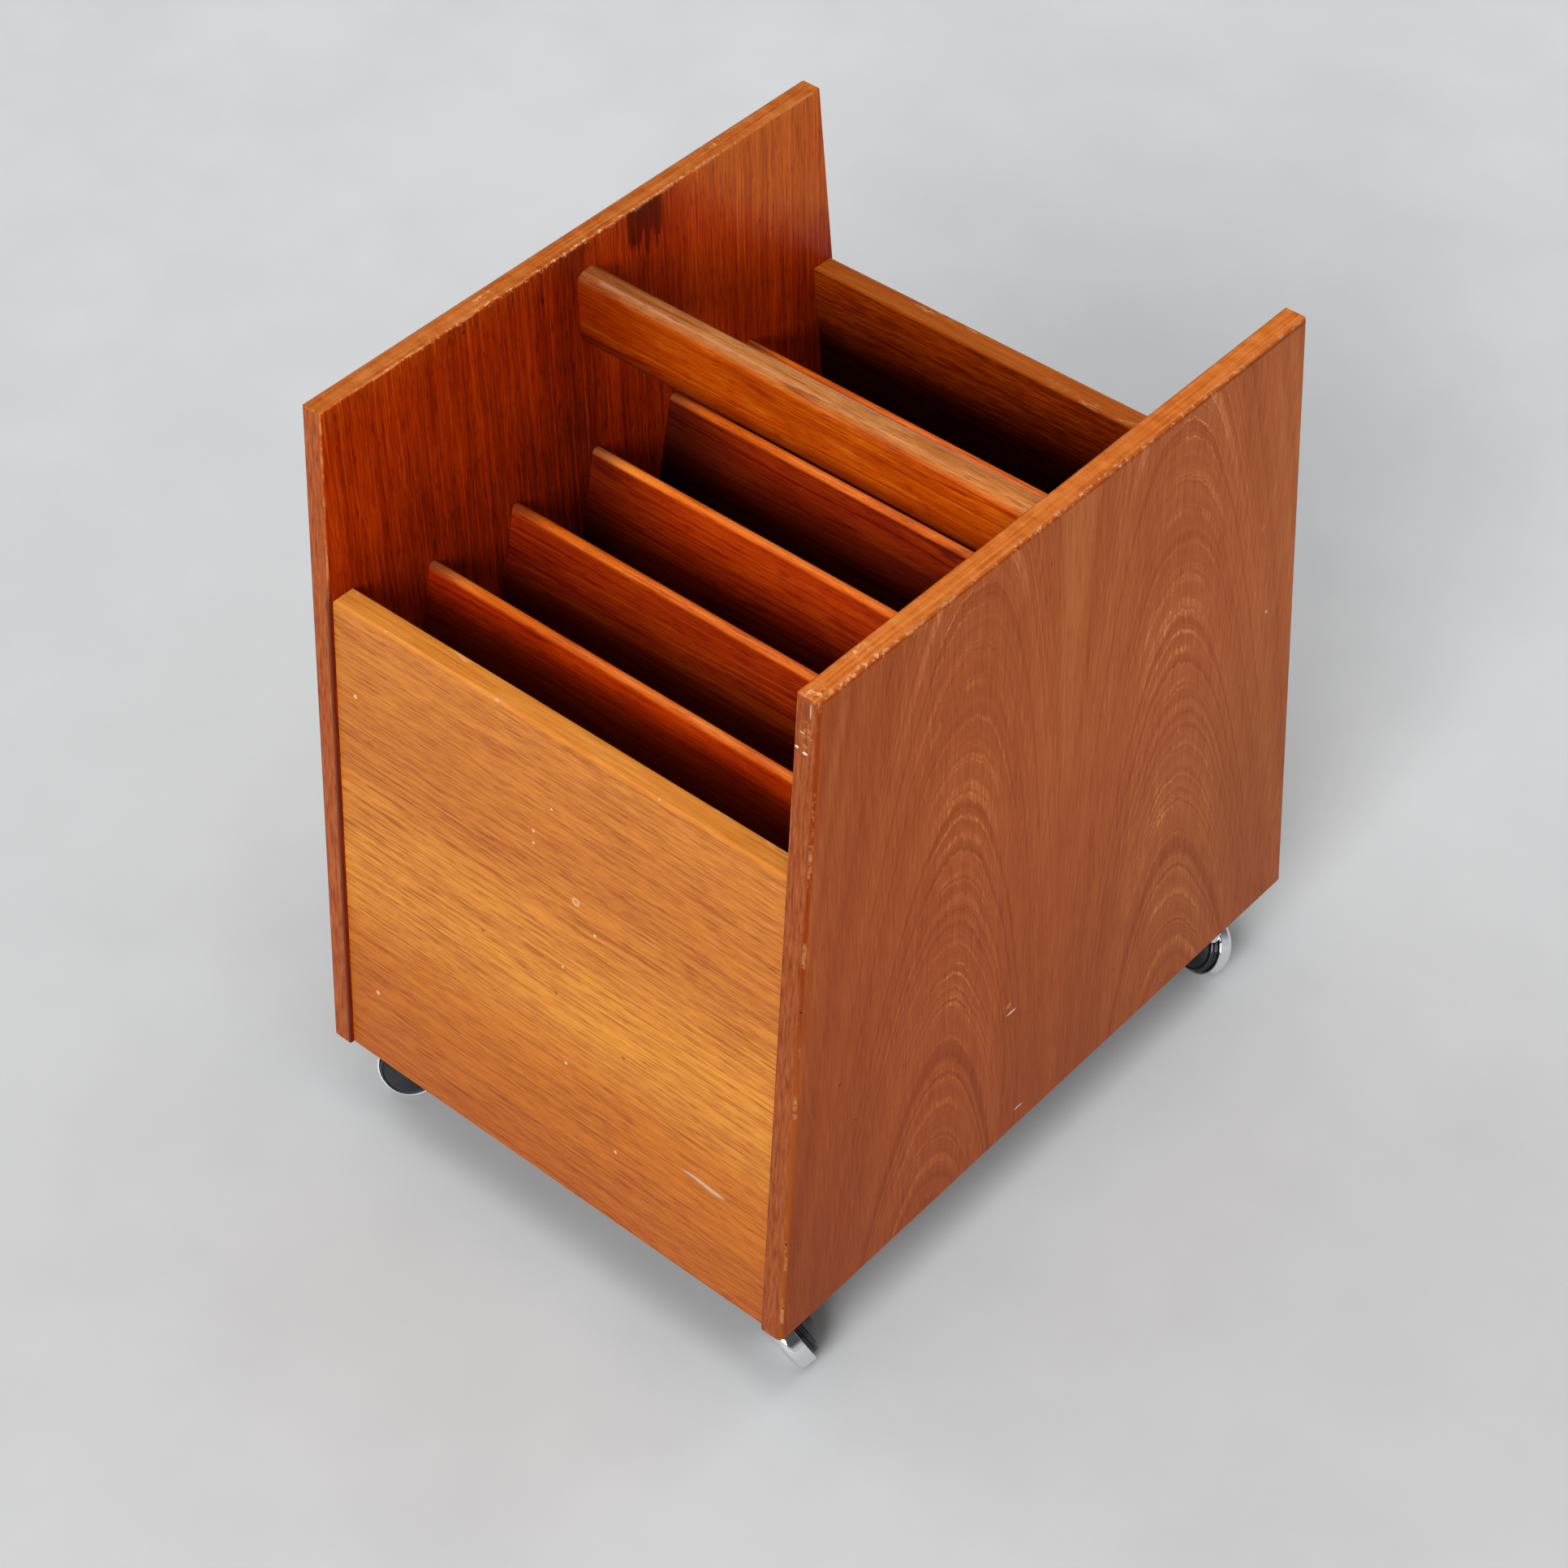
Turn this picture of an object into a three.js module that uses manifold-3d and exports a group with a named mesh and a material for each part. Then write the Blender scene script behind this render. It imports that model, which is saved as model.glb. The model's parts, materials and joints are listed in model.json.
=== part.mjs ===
// Magazine rack on four hooded swivel castors.
// Millimetres, +Z up. The origin is on the floor, under the middle of the rack.
// X runs across the pockets, from side panel to side panel; Y runs from front to back.

import * as THREE from 'three';
import { mergeVertices } from 'three/addons/utils/BufferGeometryUtils.js';
import Module from 'manifold-3d';

const wasm = await Module();
wasm.setup();

// ---------------------------------------------------------------- driving dimensions

// Side panels: tapered boards, lipped with solid wood and then veneered on both faces.
const sideDepthAtBottom = 400;
const sideDepthAtTop = 335;
const sideHeight = 382.3;
const sideThickness = 12.6;
const innerWidth = 276;
const sideOuterArris = 3;
const sideInnerArris = 1;
const skinThickness = 0.9;
const lippingDepth = 6;
const glueLine = 0.1;

// Front and back panels, which stand parallel to the sloping edges of the sides.
const panelThickness = 12.6;
const panelHeight = 279.5;
const panelRecess = 2.4;
const panelArris = 2;

// Bottom board on its corner blocks.
const bottomThickness = 12.6;
const bottomHousing = 4;
const blockHeight = 18;
const blockWidth = 44;
const blockDepth = 46;
const blockArris = 3;

// Dividers, housed in stopped grooves in the sides.
const dividerCount = 5;
const dividerThickness = 6;
const dividerTop = 262;
const dividerPitch = sideDepthAtBottom * 0.1395;
const dividerRunPerRise = 0.22;
const dividerHousing = 4.5;

// Carry rail between the sides.
const railThickness = 14;
const railHeight = 40;
const railBottom = 327;
const railOffset = 1.5;
const railArris = 5.5;

// Dowels that hold the rail and the two panels between the sides.
const dowelRadius = 4;
const dowelInSide = 8;
const dowelInMember = 16;
const railDowelSpacing = 20;
const panelDowelHeights = [75, 215];

// Clearances.
const slidingFit = 0.3;
const dowelFit = 0.2;

// Castors: plate, king pin, pressed hood, inclined axle, wheel and domed cap.
const castorHeight = 54;
const castorInset = 8.7;
const frontCastorSetback = 31.5;
const backCastorSetback = 36.7;
const plateSize = 34;
const plateThickness = 2.5;
const plateCorner = 5;
const plateHoleSpacing = 24;
const plateHoleRadius = 2;
const racewayRadius = 10;
const racewayHeight = 2;
const racewayChamfer = 1;
const kingPinRadius = 4;
const kingPinLength = 14;
const kingPinChamfer = 1;
const kingPinHeadRadius = 6.5;
const kingPinHeadHeight = 1.2;
const pinGrooveStart = 3;
const pinGrooveEnd = 5;
const pinGrooveDepth = 0.7;
const pinGrooveFlank = 0.4;
const axleTilt = THREE.MathUtils.degToRad(24);
const castorTrail = -2.4;
const castorSideOffset = 0.4;
const hoodRadius = 16.8;
const hoodDepth = 10.4;
const hoodCorner = 4.5;
const hoodWall = 1;
const hoodRimWidth = 1.5;
const hoodRimDepth = 1.6;
const hoodFloorClearance = 0.6;
const neckTopRadius = 7.5;
const neckBaseRadius = 9.5;
const neckTopRound = 0.8;
const neckFootRise = 5.9;
// Flare of the neck: [share of the way in from its base to its top radius, share of its height].
const neckFlare = [[0, 0], [0, 0.2], [0.6, 0.42], [1, 0.7]];
const axleRadius = 2;
const axleHeadRadius = 3.4;
const axleHeadHeight = 1;
const axleHeadChamfer = 0.5;
const axleBossRadius = 4.2;
const axleBossHeight = 2.4;
const wheelRadius = 14.95;
const wheelFace = 1.9;
const wheelBack = 7.3;
const treadBack = 6;
const treadThickness = 2.7;
const treadBackDrop = 0.85;
const treadChamfer = 0.5;
const webThickness = 2.4;
const webRecess = 0.7;
const hubRadius = 4.8;
const hubFront = 3.1;
const capRadius = 14.5;
const capRise = 8.3;
const capWall = 1.3;
const capClearance = 0.9;
// Rounded edge of the cap: [distance in from its radius, height above its seat].
const capEdge = [[0, 0], [0, 0.6], [0.4, 1.24], [1.2, 2]];
const domeExponent = 1.3;

const castorLayout = [
  { name: 'front_left', x: -1, y: -1, yaw: THREE.MathUtils.degToRad(-50.5) },
  { name: 'front_right', x: 1, y: -1, yaw: THREE.MathUtils.degToRad(73.4) },
  { name: 'back_right', x: 1, y: 1, yaw: THREE.MathUtils.degToRad(252.1) },
  { name: 'back_left', x: -1, y: 1, yaw: THREE.MathUtils.degToRad(130) },
];

// ---------------------------------------------------------------- derived dimensions

const edgeSlope = (sideDepthAtBottom - sideDepthAtTop) / 2 / sideHeight;
const slopeLength = Math.hypot(1, edgeSlope);
const innerFace = innerWidth / 2;
const outerFace = innerFace + sideThickness;
const bottomTop = blockHeight + bottomThickness;
const margin = 10;
const overshoot = 1;
const roundSteps = 4;
const innerRoundSteps = 3;
const domeSteps = 4;
const innerDomeSteps = 2;
const dowelSegments = 10;
const pinSegments = 12;
const neckSegments = 16;
const wheelSegments = 24;

// Y of a line that runs parallel to the front edge of a side, set in from it by the given distance.
function frontLine(z, inset) {
  return -sideDepthAtBottom / 2 + edgeSlope * z + inset * slopeLength;
}

// ---------------------------------------------------------------- materials

function finish(color, roughness, metalness) {
  return new THREE.MeshStandardMaterial({ color, roughness, metalness });
}

const teakVeneer = finish(0x9b4e2a, 0.45, 0);
const teakSolid = finish(0xc3732d, 0.45, 0);
const beechwood = finish(0xd9b98a, 0.7, 0);
const softwood = finish(0xb98a58, 0.7, 0);
const chrome = finish(0xd8dade, 0.08, 1);
const zincSteel = finish(0xa9abad, 0.4, 1);
const blackPlastic = finish(0x1b1b1c, 0.25, 0);

// ---------------------------------------------------------------- solids and shapes

function toSolid(geometry) {
  const bare = geometry.clone();
  bare.deleteAttribute('normal');
  bare.deleteAttribute('uv');
  const merged = mergeVertices(bare);
  return new wasm.Manifold(new wasm.Mesh({
    numProp: 3,
    vertProperties: Float32Array.from(merged.attributes.position.array),
    triVerts: Uint32Array.from(merged.index.array),
  }));
}

function toGeometry(solid) {
  const mesh = solid.getMesh();
  const geometry = new THREE.BufferGeometry();
  geometry.setAttribute('position', new THREE.BufferAttribute(Float32Array.from(mesh.vertProperties), 3));
  geometry.setIndex(new THREE.BufferAttribute(Uint32Array.from(mesh.triVerts), 1));
  geometry.computeVertexNormals();
  return geometry;
}

// A closed outline through corners [u, v, radius]; a corner with a radius becomes an arc.
function outline(corners) {
  const shape = new THREE.Shape();
  corners.forEach(([u, v, radius = 0], index) => {
    const corner = new THREE.Vector2(u, v);
    const [u0, v0] = corners[(index + corners.length - 1) % corners.length];
    const [u1, v1] = corners[(index + 1) % corners.length];
    const back = new THREE.Vector2(u0, v0).sub(corner).normalize();
    const ahead = new THREE.Vector2(u1, v1).sub(corner).normalize();
    const draw = index === 0 ? 'moveTo' : 'lineTo';
    if (radius === 0) {
      shape[draw](u, v);
      return;
    }
    const half = Math.acos(back.dot(ahead)) / 2;
    const start = back.clone().multiplyScalar(radius / Math.tan(half)).add(corner);
    const end = ahead.clone().multiplyScalar(radius / Math.tan(half)).add(corner);
    const centre = back.clone().add(ahead).normalize().multiplyScalar(radius / Math.sin(half)).add(corner);
    const clockwise = back.cross(ahead) > 0;
    shape[draw](start.x, start.y);
    shape.absarc(
      centre.x, centre.y, radius,
      Math.atan2(start.y - centre.y, start.x - centre.x),
      Math.atan2(end.y - centre.y, end.x - centre.x),
      clockwise,
    );
  });
  return shape;
}

// Extrudes an outline drawn in Y and Z along X, from x0 to x1.
function alongX(shape, x0, x1, arris = 0) {
  const geometry = new THREE.ExtrudeGeometry(shape, {
    depth: x1 - x0 - 2 * arris,
    curveSegments: roundSteps,
    bevelEnabled: arris > 0,
    bevelSize: arris,
    bevelThickness: arris,
    bevelOffset: -arris,
    bevelSegments: roundSteps - 1,
  });
  const turn = new THREE.Matrix4().makeBasis(
    new THREE.Vector3(0, 1, 0), new THREE.Vector3(0, 0, 1), new THREE.Vector3(1, 0, 0),
  );
  return geometry.applyMatrix4(turn).translate(x0 + arris, 0, 0);
}

// Extrudes an outline drawn in X and Y upwards, from z0 to z1.
function alongZ(shape, z0, z1) {
  const options = { depth: z1 - z0, curveSegments: roundSteps, bevelEnabled: false };
  return new THREE.ExtrudeGeometry(shape, options).translate(0, 0, z0);
}

// Revolves a profile of [radius, height] points about Z.
function turned(profile, segments) {
  const points = profile.map(([radius, height]) => new THREE.Vector2(radius, height));
  return new THREE.LatheGeometry(points, segments).rotateX(Math.PI / 2);
}

function box(x0, x1, y0, y1, z0, z1) {
  return new THREE.BoxGeometry(x1 - x0, y1 - y0, z1 - z0)
    .translate((x0 + x1) / 2, (y0 + y1) / 2, (z0 + z1) / 2);
}

// A round bar or bore along X.
function barAlongX(radius, x0, x1, y, z) {
  return new THREE.CylinderGeometry(radius, radius, x1 - x0, dowelSegments)
    .rotateZ(Math.PI / 2).translate((x0 + x1) / 2, y, z);
}

function arc(centreU, centreV, radius, from, to, steps) {
  return Array.from({ length: steps + 1 }, (_, index) => {
    const angle = from + (to - from) * index / steps;
    return [centreU + radius * Math.cos(angle), centreV + radius * Math.sin(angle)];
  });
}

function addPiece(parent, name, geometry, material) {
  const mesh = new THREE.Mesh(geometry, material);
  mesh.name = name;
  parent.add(mesh);
  return mesh;
}

const rack = new THREE.Group();
const cabinet = new THREE.Group();
cabinet.position.z = castorHeight;
rack.add(cabinet);

// ---------------------------------------------------------------- dowels

// Every dowel crosses the joint between a side and what stands between the sides.
const panelCentreInset = panelRecess + panelThickness / 2;
const railDowels = [-1, 1].map((end) => ({
  member: 'carry_rail',
  y: railOffset,
  z: railBottom + railHeight / 2 + end * railDowelSpacing / 2,
}));
const panelDowels = panelDowelHeights.flatMap((z) => [
  { member: 'front_panel', y: frontLine(z, panelCentreInset), z },
  { member: 'back_panel', y: -frontLine(z, panelCentreInset), z },
]);
const dowels = [...railDowels, ...panelDowels];

function dowelBores(hand, places) {
  return places.map(({ y, z }) => {
    const inner = innerFace - dowelInMember - dowelFit;
    const outer = innerFace + dowelInSide + dowelFit;
    const [x0, x1] = hand > 0 ? [inner, outer] : [-outer, -inner];
    return toSolid(barAlongX(dowelRadius + dowelFit, x0, x1, y, z));
  });
}

function boreForDowels(solid, member) {
  const places = dowels.filter((dowel) => dowel.member === member);
  return [-1, 1].flatMap((hand) => dowelBores(hand, places))
    .reduce((result, bore) => result.subtract(bore), solid);
}

function addDowels() {
  const count = {};
  for (const { member, y, z } of dowels) {
    count[member] = (count[member] ?? 0) + 1;
    for (const [hand, sideName] of [[-1, 'left'], [1, 'right']]) {
      const inner = innerFace - dowelInMember;
      const outer = innerFace + dowelInSide;
      const [x0, x1] = hand > 0 ? [inner, outer] : [-outer, -inner];
      const name = `${member}_dowel_${sideName}_${count[member]}`;
      addPiece(cabinet, name, barAlongX(dowelRadius, x0, x1, y, z), beechwood);
    }
  }
}

// ---------------------------------------------------------------- dividers

// The outline of one divider in Y and Z. Its top is a full round; it leans back as it rises.
function dividerOutline(index, clearance, footHeight) {
  const radius = dividerThickness / 2 + clearance;
  const crownY = (index - (dividerCount - 1) / 2) * dividerPitch;
  const crownZ = dividerTop - dividerThickness / 2;
  const lean = Math.atan(dividerRunPerRise);
  const halfWidth = radius / Math.cos(lean);
  const footY = crownY - dividerRunPerRise * (crownZ - footHeight);
  const shape = new THREE.Shape();
  shape.moveTo(footY + halfWidth, footHeight);
  shape.absarc(crownY, crownZ, radius, -lean, Math.PI - lean, false);
  shape.lineTo(footY - halfWidth, footHeight);
  return shape;
}

function addDividers() {
  const reach = innerFace + dividerHousing - slidingFit;
  for (let index = 0; index < dividerCount; index += 1) {
    const shape = dividerOutline(index, 0, bottomTop);
    addPiece(cabinet, `divider_${index + 1}`, alongX(shape, -reach, reach), teakSolid);
  }
}

// ---------------------------------------------------------------- bottom board and corner blocks

const panelBackInset = panelRecess + panelThickness + slidingFit;

// The board's long edges are planed to the slope of the front and back panels.
function bottomOutline(clearance) {
  const low = blockHeight - clearance;
  const high = bottomTop + clearance;
  return outline([
    [frontLine(low, panelBackInset) - clearance, low],
    [-frontLine(low, panelBackInset) + clearance, low],
    [-frontLine(high, panelBackInset) + clearance, high],
    [frontLine(high, panelBackInset) - clearance, high],
  ]);
}

function addBottom() {
  const reach = innerFace + bottomHousing - slidingFit;
  addPiece(cabinet, 'bottom_board', alongX(bottomOutline(0), -reach, reach), teakVeneer);

  const blockBack = frontLine(0, panelBackInset) + blockDepth;
  const blockShape = outline([
    [frontLine(0, panelBackInset), 0],
    [blockBack, 0, blockArris],
    [blockBack, blockHeight],
    [frontLine(blockHeight, panelBackInset), blockHeight],
  ]);
  for (const { name, x, y } of castorLayout) {
    const [x0, x1] = x * y < 0 ? [innerFace - blockWidth, innerFace] : [-innerFace, blockWidth - innerFace];
    const geometry = alongX(blockShape, x0, x1);
    if (y > 0) geometry.rotateZ(Math.PI);
    addPiece(cabinet, `corner_block_${name}`, geometry, softwood);
  }
}

// ---------------------------------------------------------------- side panels

// Corners of the side's outline, set in from its front, top and back edges.
function sideCorners(inset) {
  const top = sideHeight - inset;
  return [
    [frontLine(-margin, inset), -margin],
    [frontLine(top, inset), top],
    [-frontLine(top, inset), top],
    [-frontLine(-margin, inset), -margin],
  ];
}

// The whole board with its rounded arrises: the outer face has the larger round.
function sideBlank() {
  const shape = outline(sideCorners(0));
  const outerRound = toSolid(alongX(shape, innerFace - sideOuterArris - margin, outerFace, sideOuterArris));
  const innerRound = toSolid(alongX(shape, innerFace, outerFace + sideInnerArris + margin, sideInnerArris));
  const halfDepth = sideDepthAtBottom / 2 + margin;
  const above = toSolid(box(
    innerFace - margin, outerFace + margin, -halfDepth, halfDepth, 0, sideHeight + margin,
  ));
  return outerRound.intersect(innerRound).intersect(above);
}

// A strip that follows one edge between the two veneer skins, mitred at its upper ends.
function lippingStrip(edge, inset, mitreGap) {
  const outer = sideCorners(-margin);
  const inner = sideCorners(inset);
  const strips = {
    front: [outer[0], outer[1], inner[1], inner[0]],
    top: [
      [outer[1][0] + mitreGap, outer[1][1]], [outer[2][0] - mitreGap, outer[2][1]],
      [inner[2][0] - mitreGap, inner[2][1]], [inner[1][0] + mitreGap, inner[1][1]],
    ],
    back: [outer[2], outer[3], inner[3], inner[2]],
  };
  return toSolid(alongX(outline(strips[edge]), innerFace + skinThickness, outerFace - skinThickness));
}

function housings() {
  const cuts = [];
  for (let index = 0; index < dividerCount; index += 1) {
    const shape = dividerOutline(index, slidingFit, blockHeight);
    cuts.push(alongX(shape, innerFace - margin, innerFace + dividerHousing));
  }
  cuts.push(alongX(bottomOutline(slidingFit), innerFace - margin, innerFace + bottomHousing));
  return cuts;
}

function addSides() {
  for (const [hand, name] of [[-1, 'left'], [1, 'right']]) {
    const blank = sideBlank();
    const edges = ['front', 'top', 'back'];
    const channel = edges.reduce(
      (result, edge) => result.subtract(lippingStrip(edge, lippingDepth, 0)), blank,
    );
    const place = (solid) => {
      const geometry = toGeometry(solid);
      return hand < 0 ? geometry.rotateZ(Math.PI) : geometry;
    };
    let panel = toSolid(place(channel));
    for (const cut of housings()) {
      const shift = hand < 0 ? -2 * innerFace + margin - dividerHousing : 0;
      panel = panel.subtract(toSolid(cut.translate(shift, 0, 0)));
    }
    const bores = dowelBores(hand, dowels);
    const bored = (solid) => bores.reduce((result, bore) => result.subtract(bore), solid);
    addPiece(cabinet, `side_panel_${name}`, toGeometry(bored(panel)), teakVeneer);
    for (const edge of edges) {
      const strip = lippingStrip(edge, lippingDepth - glueLine, glueLine);
      const worldEdge = hand < 0 ? { front: 'back', back: 'front', top: 'top' }[edge] : edge;
      const lipping = bored(toSolid(place(blank.intersect(strip))));
      addPiece(cabinet, `side_lipping_${worldEdge}_${name}`, toGeometry(lipping), teakSolid);
    }
  }
}

// ---------------------------------------------------------------- front and back panels

function addPanels() {
  const outerInset = panelRecess;
  const innerInset = panelRecess + panelThickness;
  const blank = toSolid(alongX(outline([
    [frontLine(0, outerInset), 0],
    [frontLine(0, innerInset), 0],
    [frontLine(panelHeight, innerInset), panelHeight, panelArris],
    [frontLine(panelHeight, outerInset), panelHeight, panelArris],
  ]), -innerFace, innerFace));

  const channel = (gap) => {
    const low = panelHeight - lippingDepth + gap;
    const high = panelHeight + margin;
    const near = outerInset + skinThickness + gap;
    const far = innerInset - skinThickness - gap;
    return toSolid(alongX(outline([
      [frontLine(low, near), low], [frontLine(low, far), low],
      [frontLine(high, far), high], [frontLine(high, near), high],
    ]), -innerFace - margin, innerFace + margin));
  };
  const board = blank.subtract(channel(0));
  const lipping = blank.intersect(channel(glueLine));

  for (const [name, turn] of [['front', 0], ['back', Math.PI]]) {
    const panel = toSolid(toGeometry(board).rotateZ(turn));
    const bored = boreForDowels(panel, `${name}_panel`);
    addPiece(cabinet, `${name}_panel`, toGeometry(bored), teakVeneer);
    addPiece(cabinet, `${name}_panel_lipping`, toGeometry(lipping).rotateZ(turn), teakSolid);
  }
}

// ---------------------------------------------------------------- carry rail

function addRail() {
  const near = railOffset - railThickness / 2;
  const far = railOffset + railThickness / 2;
  const top = railBottom + railHeight;
  const shape = outline([
    [near, railBottom, railArris], [far, railBottom, railArris],
    [far, top, railArris], [near, top, railArris],
  ]);
  const rail = boreForDowels(toSolid(alongX(shape, -innerFace, innerFace)), 'carry_rail');
  addPiece(cabinet, 'carry_rail', toGeometry(rail), teakSolid);
}

// ---------------------------------------------------------------- castors

const axis = new THREE.Vector3(Math.cos(axleTilt), 0, Math.sin(axleTilt));
const upToAxis = new THREE.Quaternion().setFromUnitVectors(new THREE.Vector3(0, 0, 1), axis);
const racewayBottom = castorHeight - plateThickness - racewayHeight;
const neckTop = racewayBottom - slidingFit;
const kingPinTip = castorHeight - plateThickness - kingPinLength;
const bossFace = -hoodDepth + hoodWall + axleBossHeight;

// Tread profile, as [radius, distance along the axle]; the wheel stands on its lowest corner.
const tread = [
  [wheelRadius - treadBackDrop, -wheelBack],
  [wheelRadius, -treadBack],
  [wheelRadius, wheelFace - treadChamfer],
  [wheelRadius - treadChamfer, wheelFace],
];
const wheelCentreHeight = Math.max(
  ...tread.map(([radius, along]) => radius * Math.cos(axleTilt) - along * Math.sin(axleTilt)),
);
const wheelCentre = new THREE.Vector3(castorSideOffset, castorTrail, wheelCentreHeight);

// Turns a geometry built about Z onto the inclined axle of a castor.
function ontoAxle(geometry) {
  const matrix = new THREE.Matrix4().compose(wheelCentre, upToAxis, new THREE.Vector3(1, 1, 1));
  return geometry.applyMatrix4(matrix);
}

// Outside of the hood: a shallow cup with a large round between its side and its flat back.
function hoodProfile(shrink, steps) {
  const back = -hoodDepth + shrink;
  const radius = hoodRadius - shrink;
  const corner = hoodCorner - shrink;
  return arc(radius - corner, back + corner, corner, -Math.PI / 2, 0, steps);
}

function hoodGeometry() {
  const cup = toSolid(ontoAxle(turned(
    [[0, -hoodDepth], ...hoodProfile(0, roundSteps), [hoodRadius, 0], [0, 0]], wheelSegments,
  )));
  const neckFoot = wheelCentreHeight + neckFootRise;
  const neck = toSolid(turned([
    [0, neckFoot],
    ...neckFlare.map(([inward, upward]) => [
      neckBaseRadius + (neckTopRadius - neckBaseRadius) * inward,
      neckFoot + (neckTop - neckFoot) * upward,
    ]),
    [neckTopRadius, neckTop - neckTopRound],
    [neckTopRadius - neckTopRound, neckTop],
    [0, neckTop],
  ], neckSegments));
  const rimRadius = hoodRadius - hoodRimWidth;
  const hollowEnd = wheelFace + capRise + capClearance;
  const hollow = toSolid(ontoAxle(turned([
    [0, -hoodDepth + hoodWall],
    ...hoodProfile(hoodWall, innerRoundSteps),
    [hoodRadius - hoodWall, -hoodRimDepth],
    [rimRadius, -hoodRimDepth + (hoodRimWidth - hoodWall)],
    [rimRadius, hollowEnd],
    [0, hollowEnd],
  ], wheelSegments)));
  const reach = hoodRadius * 2;
  const floorCut = toSolid(box(-reach, reach, -reach, reach, -reach, hoodFloorClearance));
  const pinBore = toSolid(turned([
    [0, kingPinTip - slidingFit],
    [kingPinRadius + slidingFit, kingPinTip - slidingFit],
    [kingPinRadius + slidingFit, neckTop + overshoot],
    [0, neckTop + overshoot],
  ], pinSegments));
  const boss = toSolid(ontoAxle(turned([
    [0, -hoodDepth + hoodWall / 2],
    [axleBossRadius, -hoodDepth + hoodWall / 2],
    [axleBossRadius, bossFace],
    [0, bossFace],
  ], pinSegments)));
  const axleBore = toSolid(ontoAxle(turned([
    [0, -hoodDepth + hoodWall / 2],
    [axleRadius + slidingFit, -hoodDepth + hoodWall / 2],
    [axleRadius + slidingFit, bossFace + overshoot],
    [0, bossFace + overshoot],
  ], pinSegments)));
  const hood = cup.add(neck).subtract(hollow).subtract(floorCut).add(boss);
  return toGeometry(hood.subtract(pinBore).subtract(axleBore));
}

function plateGeometry() {
  const half = plateSize / 2;
  const hole = plateHoleSpacing / 2;
  const plate = outline([
    [-half, -half, plateCorner], [half, -half, plateCorner],
    [half, half, plateCorner], [-half, half, plateCorner],
  ]);
  for (const x of [-hole, hole]) {
    for (const y of [-hole, hole]) {
      const bore = new THREE.Path();
      bore.absarc(x, y, plateHoleRadius, 0, Math.PI * 2, true);
      plate.holes.push(bore);
    }
  }
  const slab = toSolid(alongZ(plate, castorHeight - plateThickness, castorHeight));
  const raceway = toSolid(turned([
    [0, racewayBottom],
    [racewayRadius - racewayChamfer, racewayBottom],
    [racewayRadius, racewayBottom + racewayChamfer],
    [racewayRadius, castorHeight - plateThickness / 2],
    [0, castorHeight - plateThickness / 2],
  ], neckSegments));
  const headSeat = castorHeight - kingPinHeadHeight - 2 * slidingFit;
  const pinHole = toSolid(turned([
    [0, racewayBottom - overshoot],
    [kingPinRadius + slidingFit, racewayBottom - overshoot],
    [kingPinRadius + slidingFit, headSeat],
    [kingPinHeadRadius + slidingFit, headSeat],
    [kingPinHeadRadius + slidingFit, castorHeight + overshoot],
    [0, castorHeight + overshoot],
  ], pinSegments));
  return toGeometry(slab.add(raceway).subtract(pinHole));
}

function kingPinGeometry() {
  const headTop = castorHeight - slidingFit;
  const headBottom = headTop - kingPinHeadHeight;
  const grooveRadius = kingPinRadius - pinGrooveDepth;
  return turned([
    [0, kingPinTip],
    [kingPinRadius - kingPinChamfer, kingPinTip],
    [kingPinRadius, kingPinTip + kingPinChamfer],
    [kingPinRadius, kingPinTip + pinGrooveStart],
    [grooveRadius, kingPinTip + pinGrooveStart + pinGrooveFlank],
    [grooveRadius, kingPinTip + pinGrooveEnd - pinGrooveFlank],
    [kingPinRadius, kingPinTip + pinGrooveEnd],
    [kingPinRadius, headBottom],
    [kingPinHeadRadius, headBottom],
    [kingPinHeadRadius, headTop],
    [0, headTop],
  ], pinSegments);
}

function axleGeometry() {
  const headSeat = hubFront + slidingFit;
  return turned([
    [0, -hoodDepth + hoodWall / 2 + slidingFit],
    [axleRadius, -hoodDepth + hoodWall / 2 + slidingFit],
    [axleRadius, headSeat],
    [axleHeadRadius, headSeat],
    [axleHeadRadius, headSeat + axleHeadHeight - axleHeadChamfer],
    [axleHeadRadius - axleHeadChamfer, headSeat + axleHeadHeight],
    [0, headSeat + axleHeadHeight],
  ], pinSegments);
}

function wheelGeometry() {
  const bore = axleRadius + slidingFit;
  const webFront = wheelFace - webRecess;
  const webBack = webFront - webThickness;
  const treadInside = wheelRadius - treadThickness;
  const hubBack = bossFace + slidingFit;
  return turned([
    [bore, hubBack],
    [hubRadius, hubBack],
    [hubRadius, webBack],
    [treadInside, webBack],
    [treadInside, -wheelBack],
    ...tread,
    [treadInside, wheelFace],
    [treadInside, webFront],
    [hubRadius, webFront],
    [hubRadius, hubFront],
    [bore, hubFront],
    [bore, hubBack],
  ], wheelSegments);
}

function capGeometry() {
  const seat = wheelFace + slidingFit;
  const edge = capEdge.map(([inward, upward]) => [capRadius - inward, seat + upward]);
  const [shoulderRadius, shoulderHeight] = edge.at(-1);
  const apex = wheelFace + capRise;
  const dome = (share) => shoulderHeight + (apex - shoulderHeight) * (1 - share ** domeExponent);
  const skin = (steps, wall) => Array.from({ length: steps + 1 }, (_, step) => [
    (shoulderRadius - wall) * (1 - step / steps), dome(1 - step / steps) - wall,
  ]);
  return turned([
    ...skin(innerDomeSteps, capWall).reverse(),
    [shoulderRadius - capWall, seat],
    ...edge,
    ...skin(domeSteps, 0).slice(1),
  ], wheelSegments);
}

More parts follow.
